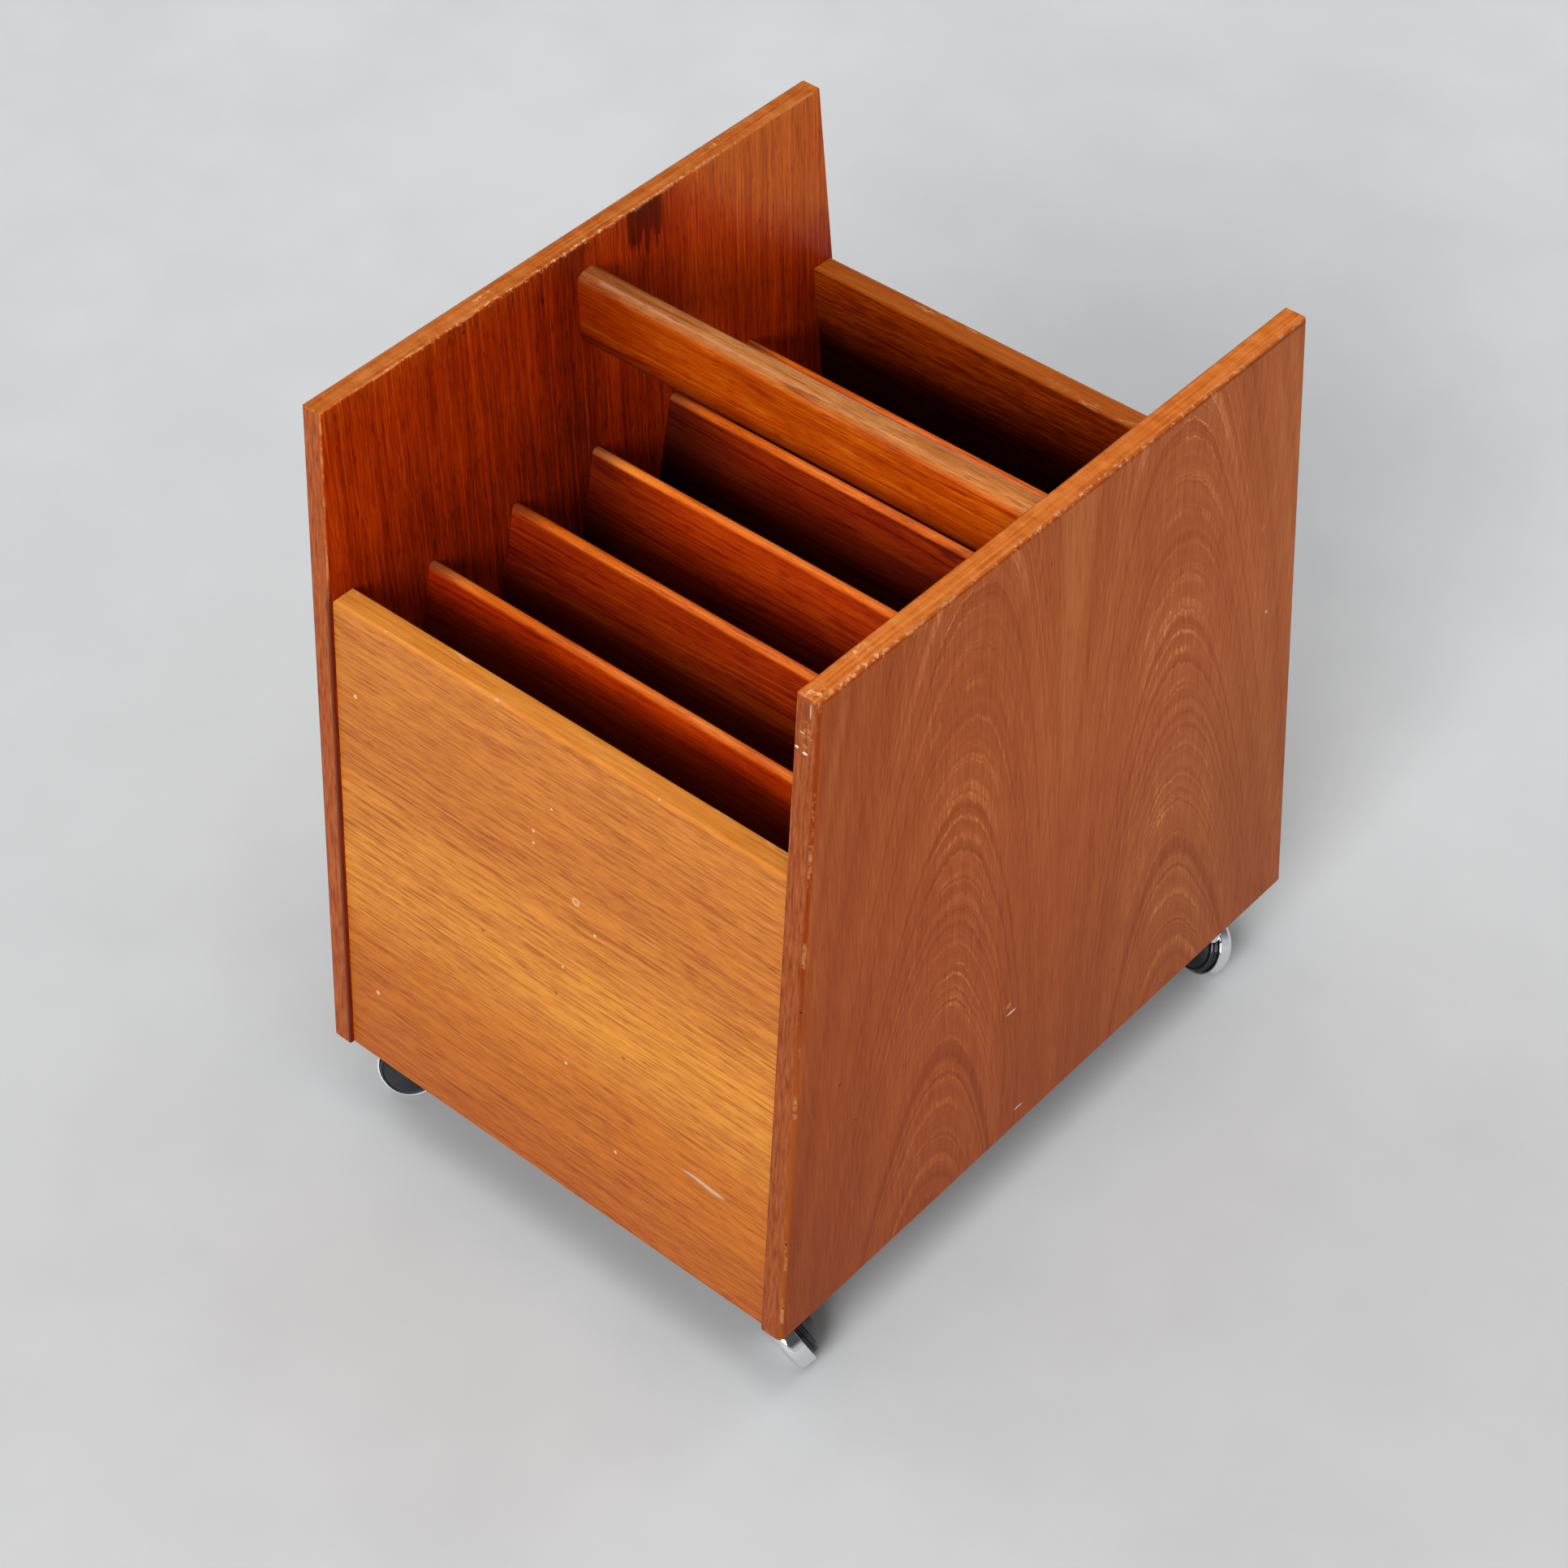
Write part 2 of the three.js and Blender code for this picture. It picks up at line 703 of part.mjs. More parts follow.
function addCastors() {
  for (const { name, x, y, yaw } of castorLayout) {
    const place = new THREE.Group();
    const setback = y < 0 ? frontCastorSetback : backCastorSetback;
    place.position.set(x * (innerFace - castorInset), y * (sideDepthAtBottom / 2 - setback), 0);
    rack.add(place);
    addPiece(place, `castor_plate_${name}`, plateGeometry(), zincSteel);
    addPiece(place, `castor_king_pin_${name}`, kingPinGeometry(), zincSteel);

    const swivel = new THREE.Group();
    swivel.rotation.z = yaw;
    place.add(swivel);
    addPiece(swivel, `castor_hood_${name}`, hoodGeometry(), chrome);

    const axle = new THREE.Group();
    axle.position.copy(wheelCentre);
    axle.quaternion.copy(upToAxis);
    swivel.add(axle);
    addPiece(axle, `castor_axle_${name}`, axleGeometry(), zincSteel);
    addPiece(axle, `castor_wheel_${name}`, wheelGeometry(), blackPlastic);
    addPiece(axle, `castor_cap_${name}`, capGeometry(), blackPlastic);
  }
}

addSides();
addPanels();
addBottom();
addDividers();
addRail();
addDowels();
addCastors();

export default rack;
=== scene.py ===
import json
import math

import bpy
from mathutils import Matrix, Vector


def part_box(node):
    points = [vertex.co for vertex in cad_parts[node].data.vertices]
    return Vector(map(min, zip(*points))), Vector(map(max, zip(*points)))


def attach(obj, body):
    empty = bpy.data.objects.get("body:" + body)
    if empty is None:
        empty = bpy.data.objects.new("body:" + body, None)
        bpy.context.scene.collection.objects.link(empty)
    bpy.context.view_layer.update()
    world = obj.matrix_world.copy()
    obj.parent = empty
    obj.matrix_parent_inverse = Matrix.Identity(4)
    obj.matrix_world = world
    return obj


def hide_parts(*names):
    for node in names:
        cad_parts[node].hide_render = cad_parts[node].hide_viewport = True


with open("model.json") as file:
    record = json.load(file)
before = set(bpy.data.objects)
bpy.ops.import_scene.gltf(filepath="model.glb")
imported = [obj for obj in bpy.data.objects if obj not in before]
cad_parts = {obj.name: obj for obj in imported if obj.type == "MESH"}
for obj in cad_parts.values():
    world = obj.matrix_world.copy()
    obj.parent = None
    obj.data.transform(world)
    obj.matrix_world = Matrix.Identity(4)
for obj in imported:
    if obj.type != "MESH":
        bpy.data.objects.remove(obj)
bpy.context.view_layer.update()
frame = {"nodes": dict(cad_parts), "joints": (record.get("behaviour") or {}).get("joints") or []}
bpy.ops.object.select_all(action="DESELECT")
mm = 0.001
tiny = 0.00002  # how near a corner lies to a plane that picks it
print("frame loaded:", len(frame["nodes"]), "nodes")


# Materials: node trees written as sums.
def addNode(tree, kind, settings, inputs):  # settings come first, then the values or links of its sockets
    made = tree.nodes.new("ShaderNode" + kind)
    for name, value in settings.items():
        if name == "stops":
            fillRamp(made.color_ramp, value)
        else:
            setattr(made, name, value)
    for key, value in inputs.items():
        if isinstance(value, bpy.types.NodeSocket):
            tree.links.new(value, made.inputs[key])
        else:
            made.inputs[key].default_value = value
    return made


def operator(operation):  # a Python operator and its reflected form
    return (
        lambda wire, other: wire.maths(operation, wire, other),
        lambda wire, other: wire.maths(operation, other, wire),
    )


class Wire:  # an output socket that takes part in sums
    def __init__(self, finish, socket):
        self.finish = finish
        self.socket = socket

    def maths(self, operation, *terms):
        return self.finish.node("Math", {"operation": operation}, dict(enumerate(terms)))

    __add__, __radd__ = operator("ADD")
    __sub__, __rsub__ = operator("SUBTRACT")
    __mul__, __rmul__ = operator("MULTIPLY")
    __truediv__, __rtruediv__ = operator("DIVIDE")

    def size(self):
        return self.maths("ABSOLUTE", self)

    def least(self, other):
        return self.maths("MINIMUM", self, other)

    def over(self, low, high):  # climbs smoothly from 0 at low to 1 at high
        inputs = {"Value": self, "From Min": low, "From Max": high}
        return self.finish.node("MapRange", {"interpolation_type": "SMOOTHSTEP"}, inputs)

    def under(self, low, high):  # falls smoothly from 1 at low to 0 at high
        return 1 - self.over(low, high)

    def swing(self, share):  # a pattern from 0 to 1, made to sway about nothing
        return (self - 0.5) * share

    def ramp(self, stops):
        return self.finish.node("ValToRGB", {"stops": stops}, {"Fac": self}, "Color")

    def blend(self, below, above):  # of two colours, by this wire
        settings = {"data_type": "RGBA", "clamp_factor": True}
        return self.finish.node("Mix", settings, {0: self, 6: below, 7: above}, 2)

    def tint(self, by):  # a colour multiplied
        return self.finish.vector("MULTIPLY", self, by)


class Finish:  # one material with its shader
    def __init__(self, name, **constants):
        self.material = bpy.data.materials.new(name)
        self.material.use_nodes = True
        self.tree = self.material.node_tree
        self.tree.nodes.clear()
        self.shader = self.tree.nodes.new("ShaderNodeBsdfPrincipled")
        output = self.tree.nodes.new("ShaderNodeOutputMaterial")
        self.tree.links.new(self.shader.outputs[0], output.inputs["Surface"])
        for socket, value in constants.items():
            self.shader.inputs[socket.replace("_", " ")].default_value = value
        self.place = self.node("TexCoord", {}, {}, "Object")

    def node(self, kind, settings, inputs, output=0):
        inputs = {key: value.socket if isinstance(value, Wire) else value for key, value in inputs.items()}
        return Wire(self, addNode(self.tree, kind, settings, inputs).outputs[output])

    def feed(self, socket, wire):
        self.tree.links.new(wire.socket, self.shader.inputs[socket])

    def axes(self):
        split = self.node("SeparateXYZ", {}, {"Vector": self.place})
        outputs = split.socket.node.outputs
        return [Wire(self, outputs[index]) for index in range(3)]

    def point(self, x, y, z):
        return self.node("CombineXYZ", {}, {0: x, 1: y, 2: z})

    def noise(self, cycles, detail, roughness, shift=(0, 0, 0), place=None):
        # cycles: how many times the pattern repeats in a metre along X, Y and Z
        inputs = {"Vector": place or self.place, "Scale": cycles, "Location": shift}
        mapped = self.node("Mapping", {}, inputs)
        inputs = {"Vector": mapped, "Scale": 1, "Detail": detail, "Roughness": roughness}
        return self.node("TexNoise", {"noise_dimensions": "3D"}, inputs)

    def rings(self, wire, cycles, detail, roughness):  # noise along one figure coordinate
        inputs = {"W": wire * cycles, "Scale": 1, "Detail": detail, "Roughness": roughness}
        return self.node("TexNoise", {"noise_dimensions": "1D"}, inputs)

    def vector(self, operation, *terms, output=0):
        return self.node("VectorMath", {"operation": operation}, dict(enumerate(terms)), output)

    def grain(self, across, thick, along, shift):
        # fine fibres, broad growth bands and open pores, all drawn out along the board
        place = self.point(across, thick, along)
        fibre = self.noise((840, 840, 48), 3, 0.65, shift, place)
        bands = self.noise((85, 85, 2.4), 3, 0.6, shift, place)
        pores = self.noise((1100, 1100, 105), 1, 0.5, shift, place).over(0.58, 0.7)
        return fibre, bands, pores

    def marks(self, colour, places):
        for centre, reach, mark, strength in places:
            colour = (self.spot(centre, reach) * strength).blend(colour, mark)
        return colour

    def spot(self, centre, reach, soft=0.5):  # 1 inside an ellipsoid given in millimetres, 0 outside it
        centre, reach = ([value * mm for value in values] for values in (centre, reach))
        away = self.vector("DIVIDE", self.vector("SUBTRACT", self.place, centre), reach)
        return self.vector("LENGTH", away, output="Value").under(1 - soft, 1)

    def relief(self, height, depth):
        inputs = {"Height": height, "Distance": depth, "Strength": 1}
        self.feed("Normal", self.node("Bump", {}, inputs, "Normal"))

    def close(self, colour, fibre, pores, gloss=0.46):  # oiled teak: fibres shine, pores lie open
        self.feed("Base Color", colour)
        self.feed("Roughness", gloss - fibre * 0.16)
        self.relief(fibre - pores * 0.7, 0.09 * mm)
        return self


def fillRamp(ramp, stops):  # each stop is a position and a colour
    while len(ramp.elements) < len(stops):
        ramp.elements.new(1)
    for element, (position, colour) in zip(ramp.elements, stops):
        element.position = position
        element.color = (*colour[:3], 1)


studioLight = 1.6  # how much brighter the studio is than a plain white surround


def paint(red, green, blue, light=1, sheen=0):
    # a screen colour, 0 to 255, without its sheen and divided by the light that falls on it
    def linear(value):
        share = value / 255
        bright = share / 12.92 if share <= 0.04045 else ((share + 0.055) / 1.055) ** 2.4
        return min(1, max(0.0002, (bright - sheen) / light / studioLight))
    return (linear(red), linear(green), linear(blue), 1)


def tones(light, sheen, *stops):  # ramp stops: position, red, green and blue, all seen in one light
    return [(position, paint(*colour, light, sheen)) for position, *colour in stops]


# Shaping: a few habits of hand modelling, shared by all pieces.
def mode(name):
    bpy.ops.object.mode_set(mode=name)


def editAll():
    mode("EDIT")
    bpy.ops.mesh.select_all(action="SELECT")


def letGo():  # leaves nothing selected
    bpy.ops.object.select_all(action="DESELECT")


def apply(piece):
    bpy.ops.object.transform_apply(location=True, rotation=True, scale=True)
    return piece


def startPiece(name):
    piece = bpy.context.active_object
    piece.name = piece.data.name = name
    return apply(piece)


def block(name, low, high, rotation=(0, 0, 0)):
    centre = [(a + b) / 2 for a, b in zip(low, high)]
    size = [b - a for a, b in zip(low, high)]
    letGo()
    bpy.ops.mesh.primitive_cube_add(size=1, location=centre, rotation=rotation, scale=size)
    return startPiece(name)


def pick(piece, kind, test):  # tests each corner, or both ends of each edge together
    mode("EDIT")
    bpy.ops.mesh.select_mode(type=kind)
    bpy.ops.mesh.select_all(action="DESELECT")
    mode("OBJECT")
    corners = piece.data.vertices
    if kind == "VERT":
        for corner in corners:
            corner.select = test(corner.co)
    else:
        for edge in piece.data.edges:
            edge.select = test(*(corners[index].co for index in edge.vertices))
    mode("EDIT")


def roundEdges(piece, test, radius, segments):
    pick(piece, "EDGE", test)
    bpy.ops.mesh.bevel(offset=radius, segments=segments, profile=0.5, clamp_overlap=True)
    mode("OBJECT")


def narrowTop(piece, level, share):  # draws the corners at the top together along Y
    pick(piece, "VERT", lambda corner: corner.z > level - tiny)
    bpy.ops.transform.resize(value=(1, share, 1), center_override=(0, 0, level))
    mode("OBJECT")


def takeUp(piece):  # makes it the one selected object
    letGo()
    piece.select_set(True)
    bpy.context.view_layer.objects.active = piece


def carve(piece, cutters, operation="DIFFERENCE"):
    for cutter in cutters:
        modifier = piece.modifiers.new("Carve", "BOOLEAN")
        modifier.operation = operation
        modifier.solver = "EXACT"
        modifier.object = cutter
        bpy.context.view_layer.objects.active = piece
        bpy.ops.object.modifier_apply(modifier=modifier.name)
    for cutter in cutters:
        bpy.data.objects.remove(cutter)


def dress(piece, finish, body, nodes=(), angle=38):
    piece.data.materials.clear()
    piece.data.materials.append(finish.material)
    takeUp(piece)
    bpy.ops.object.shade_smooth_by_angle(angle=math.radians(angle))
    weighted = piece.modifiers.new("FlatFacesLead", "WEIGHTED_NORMAL")
    weighted.keep_sharp = True
    bpy.ops.object.modifier_apply(modifier=weighted.name)
    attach(piece, body)
    if nodes:
        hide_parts(*nodes)


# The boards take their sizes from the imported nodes.
sideLow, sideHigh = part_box("side_panel_right")
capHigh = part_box("front_panel_lipping")[1]
boardLow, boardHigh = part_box("bottom_board")
railLow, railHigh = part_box("carry_rail")
innerFace, outerFace = sideLow.x, sideHigh.x
halfDepth = round(sideHigh.y, 4)
floorLine = sideLow.z  # underside of the sides, and of the panels between them

sides = {
    "topHalfDepth": 167.5 * mm,
    "height": 382.3 * mm,
    "outerArris": (3 * mm, 6),  # radius and segments
    "innerArris": (1 * mm, 3),
    "cornerRound": (0.8 * mm, 3),
    "dividerHousing": 4.5 * mm,
    "boardHousing": 4 * mm,
    "clearance": 0.3 * mm,
    "dowelClearance": 0.2 * mm,
}
panels = {
    "inset": 2.4 * mm,  # from the edges of the sides
    "thickness": 12.6 * mm,
    "topRound": (2 * mm, 5),
}
railRound = (5.5 * mm, 9)
slope = (halfDepth - sides["topHalfDepth"]) / sides["height"]
topLine = floorLine + sides["height"]
dividerNumbers = range(1, 6)

divider = {
    "thickness": 6 * mm,
    "lean": math.atan(0.22),
    "roundSegments": 10,
    "spare": 20 * mm,  # left on the foot, to be cut off level
}


def edgeLine(z, inset=0):  # Y of the sides' front edge at a height, set in by a distance
    return -halfDepth + slope * (z - floorLine) + inset * math.hypot(1, slope)


def dividerBlank(name, node, grow, low, reach):
    # a leaning board with a fully rounded top; grow is its clearance all round
    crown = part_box(node)[1]
    lean = divider["lean"]
    radius = divider["thickness"] / 2
    half = radius + grow
    middle = Vector((0, crown.y - radius, crown.z - radius))
    along = Vector((0, math.sin(lean), math.cos(lean)))
    length = (middle.z - low) / along.z + divider["spare"]
    centre = middle + along * (half - length) / 2
    piece = block(
        name, (-reach, centre.y - half, centre.z - (length + half) / 2),
        (reach, centre.y + half, centre.z + (length + half) / 2), (-lean, 0, 0),
    )
    highest = max(corner.co.z for corner in piece.data.vertices)
    fullRound = half * 0.999, divider["roundSegments"]
    roundEdges(piece, lambda a, b: min(a.z, b.z) > highest - half, *fullRound)
    editAll()
    bpy.ops.mesh.bisect(plane_co=(0, 0, low), plane_no=(0, 0, 1), clear_inner=True, use_fill=True)
    mode("OBJECT")
    return piece


def dowelCutters(side=0, member=""):
    # bores for the dowels of one side (1 right, -1 left), or of the member that has its name in theirs
    cutters = []
    gap = sides["dowelClearance"]
    for node in sorted(name for name in frame["nodes"] if "_dowel_" in name and member in name):
        low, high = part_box(node)
        if low.x * side < 0:
            continue
        bpy.ops.mesh.primitive_cylinder_add(
            vertices=20, radius=(high.z - low.z) / 2 + gap, depth=high.x - low.x + 2 * gap,
            location=(low + high) / 2, rotation=(0, math.pi / 2, 0),
        )
        cutters.append(startPiece("bore_" + node))
    return cutters


# Small knocks of the right side, the left side and the front panel: where they lie along the edge,
# and their half sizes, all in millimetres.
nicks = {
    1: {
        "front": [
            (202, (1.5, 1.5, 2.2)), (121, (0.9, 0.9, 3.4)), (77, (0.8, 0.9, 2)), (266, (0.9, 0.8, 2.6)),
        ],
        "top": [
            (-128, (0.9, 2.4, 0.8)), (-99, (0.8, 1.4, 0.8)), (-40, (0.8, 3, 0.7)), (66, (0.9, 1.7, 0.8)),
        ],
    },
    -1: {
        "front": [(330, (0.9, 0.8, 2.4)), (140, (0.8, 0.8, 3))],
        "top": [(-78, (1, 1.8, 0.9)), (61, (0.9, 1.3, 0.9)), (120, (0.9, 2.6, 0.8))],
    },
    0: {"panel": [(-33, (2.4, 1, 0.9)), (64, (1.4, 0.8, 0.7)), (-104, (1, 0.8, 0.7))]},
}
bite = 0.3  # how far in from an edge a knock is centred, in millimetres


def sidePoint(hand, inset, along, height):  # in millimetres, inset from the outer face of a side
    return (hand * (outerFace / mm - inset), along, height)


def nickPlaces(hand):
    # where the knocks lie, on the outer arris of a side or on the front panel's top edge
    table = nicks[hand]
    panelEdge = edgeLine(capHigh.z, panels["inset"]) / mm + bite
    return [
        *(
            (sidePoint(hand, bite, edgeLine(height * mm) / mm + bite, height), half)
            for height, half in table.get("front", [])
        ),
        *((sidePoint(hand, 0.4, along, topLine / mm - bite), half) for along, half in table.get("top", [])),
        *(((along, panelEdge, capHigh.z / mm - bite), half) for along, half in table.get("panel", [])),
    ]


def nickCutters(hand):
    cutters = []
    for index, (centre, half) in enumerate(nickPlaces(hand)):
        letGo()
        bpy.ops.mesh.primitive_ico_sphere_add(
            subdivisions=2, radius=1, location=Vector(centre) * mm, scale=Vector(half) * mm,
            rotation=(0.3 * index, 0.2, 0.15 * index),
        )
        cutters.append(startPiece("Nick"))
    return cutters


def sidePanel(name, hand):
    span = sorted((hand * innerFace, hand * outerFace))
    piece = block(name, (span[0], -halfDepth, floorLine), (span[1], halfDepth, topLine))
    narrowTop(piece, topLine, sides["topHalfDepth"] / halfDepth)

    def rim(face, corner):  # front, top and back edge of one face, but not its foot
        near = abs(corner.x * hand - face) < tiny
        high = corner.z > floorLine + tiny
        return near and (high or abs(abs(corner.y) - halfDepth) < tiny)

    def topEnd(corner):
        return corner.z > topLine - tiny and abs(corner.y) > sides["topHalfDepth"] - tiny

    for face, arris in ((outerFace, sides["outerArris"]), (innerFace, sides["innerArris"])):
        roundEdges(
            piece, lambda a, b: rim(face, a) and rim(face, b) and max(a.z, b.z) > floorLine + tiny, *arris,
        )
    roundEdges(piece, lambda a, b: topEnd(a) and topEnd(b), *sides["cornerRound"])

    gap, reach = sides["clearance"], innerFace + sides["dividerHousing"]
    cutters = [
        dividerBlank("Groove", f"divider_{number}", gap, boardLow.z, reach) for number in dividerNumbers
    ]
    cutters.append(boardGroove(gap, innerFace + sides["boardHousing"]))
    carve(piece, cutters + dowelCutters(side=hand) + nickCutters(hand))
    return piece


def boardGroove(gap, reach):
    # the bottom board and its clearance; its long edges are planed to the slope of the panels
    low, high = boardLow.z - gap, boardHigh.z + gap
    inset = panels["inset"] + panels["thickness"] + gap
    deep, shallow = gap - edgeLine(low, inset), gap - edgeLine(high, inset)
    piece = block("Groove", (-reach, -deep, low), (reach, deep, high))
    narrowTop(piece, high, shallow / deep)
    return piece


def boardPanel(name, end, member):
    # a board that leans with the edges of the sides, rounded along its top
    low = edgeLine(floorLine, panels["inset"])
    high = edgeLine(floorLine, panels["inset"] + panels["thickness"])
    top = capHigh.z
    piece = block(name, (-innerFace, low, floorLine), (innerFace, high, top))
    pick(piece, "VERT", lambda corner: corner.z > top - tiny)
    bpy.ops.transform.translate(value=(0, slope * (top - floorLine), 0))
    mode("OBJECT")
    roundEdges(piece, lambda a, b: min(a.z, b.z) > top - tiny, *panels["topRound"])
    if end > 0:
        editAll()
        bpy.ops.transform.rotate(value=math.pi, orient_axis="Z", center_override=(0, 0, 0))
        mode("OBJECT")
    carve(piece, dowelCutters(member=member) + (nickCutters(0) if end < 0 else []))
    return piece


# Teak veneers. Colours are as seen in this light: paint() takes the sheen off and divides by the light.
thickness = outerFace - innerFace
untinted = (1, 1, 1, 1)
bareWood = paint(222, 168, 122)  # where the finish is knocked off


def bareNicks(hand, grow, strength):  # marks of bare wood, a little wider than the cut knocks
    return [(centre, [size * grow for size in half], bareWood, strength) for centre, half in nickPlaces(hand)]


arches = {
    "mirrorLine": 2.5 * mm, "atFoot": 97 * mm, "atTop": 69 * mm,
    "width": 23 * mm, "slope": 22 * mm, "jaggedness": 8 * mm, "wander": 40 * mm,
    "nearCrest": (46 * mm, 100 * mm), "atCrest": (10 * mm, 58 * mm),
    "tones": tones(
        0.6, 0.02, (0.2, 118, 50, 22), (0.38, 144, 71, 38), (0.52, 160, 84, 48), (0.66, 176, 100, 60),
        (0.86, 212, 146, 98),
    ),
    "heart": paint(176, 112, 66, 0.62, 0.026),
    # painted shade: darker and less blue towards the foot
    "paintedShadeByHeight": [
        (0, (0.80, 0.70, 0.5)), (0.35, (0.9, 0.86, 0.72)), (0.6, (1, 1, 1)), (1, (0.97, 0.98, 1.04)),
    ],
    # painted sheen: greyer towards the back, darker and warmer at the front
    "paintedSheenByDepth": [(0, (0.84, 0.78, 0.66)), (0.3, (0.96, 0.94, 0.88)), (1, (1.02, 1.19, 1.26))],
}


def outerVeneer(finish, hand, y, z, grain):
    # two matched leaves of crown-cut veneer, mirrored about the middle of the face
    fibre, bands, pores = grain
    up = z - floorLine
    leaf = (y - arches["mirrorLine"]).size()
    crest = leaf - arches["atFoot"] + up * ((arches["atFoot"] - arches["atTop"]) / sides["height"])
    matched = finish.point(leaf, 0, z)
    ragged = finish.noise((330, 330, 46), 3, 0.65, (0, hand, 0), matched)
    drift = finish.noise((14, 14, 5), 2, 0.5, (4, hand, 2), matched)
    contour = up + crest * crest / arches["width"]
    contour = contour + ragged.swing(arches["jaggedness"]) + drift.swing(arches["wander"])
    steep = crest.size() / arches["slope"] + 1  # the lines crowd together on the flanks
    nearCrest = crest.size().under(*arches["nearCrest"])
    atCrest = crest.size().under(*arches["atCrest"])
    sweep = finish.rings(contour, 46, 3, 0.55)
    along = finish.noise((26, 26, 9), 2, 0.5, (9, 0, 0), matched).over(0.34, 0.62)
    streak = ((sweep - 0.5).size() / steep).under(0, 0.03) * atCrest * along
    groove = ((sweep - 0.56).size() / steep).under(0, 0.022) * nearCrest
    fine = finish.rings(contour, 170, 2, 0.6).swing(nearCrest)
    worn = finish.noise((560, 560, 60), 2, 0.6, (3, 0, 5), matched).over(0.36, 0.6) + 0.2
    zones = finish.rings(contour, 11, 1, 0.5)
    heart = (leaf - (up - 0.18) * 0.06).under(-1 * mm, 4 * mm) * up.over(0.15, 0.24)
    tone = 0.5 + fibre.swing(0.36) + fine * 0.2 + zones.swing(0.24) + bands.swing(0.12)
    tone = tone + streak * worn * (0.14 + up * 0.34) - groove * 0.07 + heart * 0.08 - pores * 0.06
    colour = (heart * 0.14).blend(tone.ramp(arches["tones"]), arches["heart"])
    # painted shade, darker and less blue towards the foot
    colour = colour.tint((up / sides["height"]).ramp(arches["paintedShadeByHeight"]))
    # painted sheen, greyer towards the back and darker at the front
    return colour.tint((y / (2 * halfDepth) + 0.5).ramp(arches["paintedSheenByDepth"]))


inner = {
    "flawMiddle": 41 * mm, "flawLength": 25 * mm, "flawHalf": (10.5 * mm, 13 * mm),
    "tones": tones(
        0.42, 0, (0.16, 58, 8, 0), (0.38, 98, 20, 0), (0.54, 124, 32, 1), (0.7, 143, 46, 3),
        (0.9, 180, 84, 18),
    ),
    # tones of the painted reflection of the floor, also used along the top edge
    "paintedReflectionAndTopStrip": tones(0.42, 0, (0.3, 108, 44, 5), (0.5, 138, 66, 12), (0.7, 162, 88, 22)),
}


def innerVeneer(finish, hand, y, z, grain):
    # plainer, redder and darker, with a painted shadow of the rail's end as a dark band in the middle,
    # painted shade low down, and a painted reflection of the floor making the corner behind the top paler
    fibre, bands, pores = grain
    up = z - floorLine
    # painted shadow of the rail's end: a dark band down the middle of the face
    shade = (y + 32 * mm).over(-6 * mm, 2 * mm) * y.under(-2 * mm, 8 * mm)
    lines = finish.noise((640, 640, 13), 3, 0.7, (8, hand, 1))
    threads = finish.noise((560, 560, 5), 2, 0.6, (5, hand, 3))
    mottle = finish.noise((45, 45, 14), 2, 0.5, (3, hand, 9))
    tone = 0.48 + bands.swing(0.3) + fibre.swing(0.44) + lines.swing(0.62) - shade * 0.12 - pores * 0.16
    tone = tone + y.under(-0.19, -0.05) * 0.06 + y.over(0.03, 0.1) * 0.16
    # the last term is painted shade: darker low down, below the top of the front panel
    tone = tone + mottle.swing(0.22) + threads.swing(0.26) - up.under(0.26, 0.33) * 0.15
    # painted reflection of the floor, paler in the corner behind the top; the strip along the top edge is
    # made paler with the same tones
    paintedReflectionAndTopStrip = ((z - 424 * mm) + (y - 61 * mm) * 0.785).over(-6 * mm, 30 * mm) * y.over(52 * mm, 96 * mm)
    paintedReflectionAndTopStrip = paintedReflectionAndTopStrip + up.over(0.362, 0.384) * 0.35
    colour = (paintedReflectionAndTopStrip * 0.46).blend(tone.ramp(inner["tones"]), tone.ramp(inner["paintedReflectionAndTopStrip"]))
    if hand < 0:
        # a dark flaw with ragged feet hanging from the top edge, such as grows beside a knot
        aside = (y - inner["flawMiddle"]).size()
        teeth = finish.noise((1, 330, 8), 3, 0.65, (2, 2, 2))
        foot = aside * 0.8 + teeth.swing(0.07) + (topLine - inner["flawLength"])
        flaw = (z - foot).over(-1 * mm, 2 * mm) * aside.under(*inner["flawHalf"])
        colour = colour.tint((flaw * (0.5 + lines)).blend(untinted, (0.36, 0.29, 0.34, 1)))
    return colour


edging = {
    "skin": 0.9 * mm,  # of the outer veneer; the inner one is thinner where it shows
    "innerSkin": (0.5 * mm, 0.2 * mm),
    "front": ((0.3, 138, 64, 38), (0.5, 166, 87, 51), (0.72, 184, 106, 64)),
    "top": ((0.32, 160, 74, 34), (0.5, 202, 110, 52), (0.7, 226, 140, 78)),
    "lowArris": paint(166, 90, 46, 1.2, 0.02), "highArris": paint(144, 62, 26, 1.2, 0.02),
    "rubbedThrough": paint(222, 170, 116, 1.15), "innerArris": paint(226, 150, 92, 0.9),
    # colour of the painted shadow line on the inner skin beside the front and back panels
    "paintedShadowLine": paint(84, 36, 20, 0.9),
    "panelTop": (0.27, 0.3),  # the front panel ends here, and its shelter with it
}


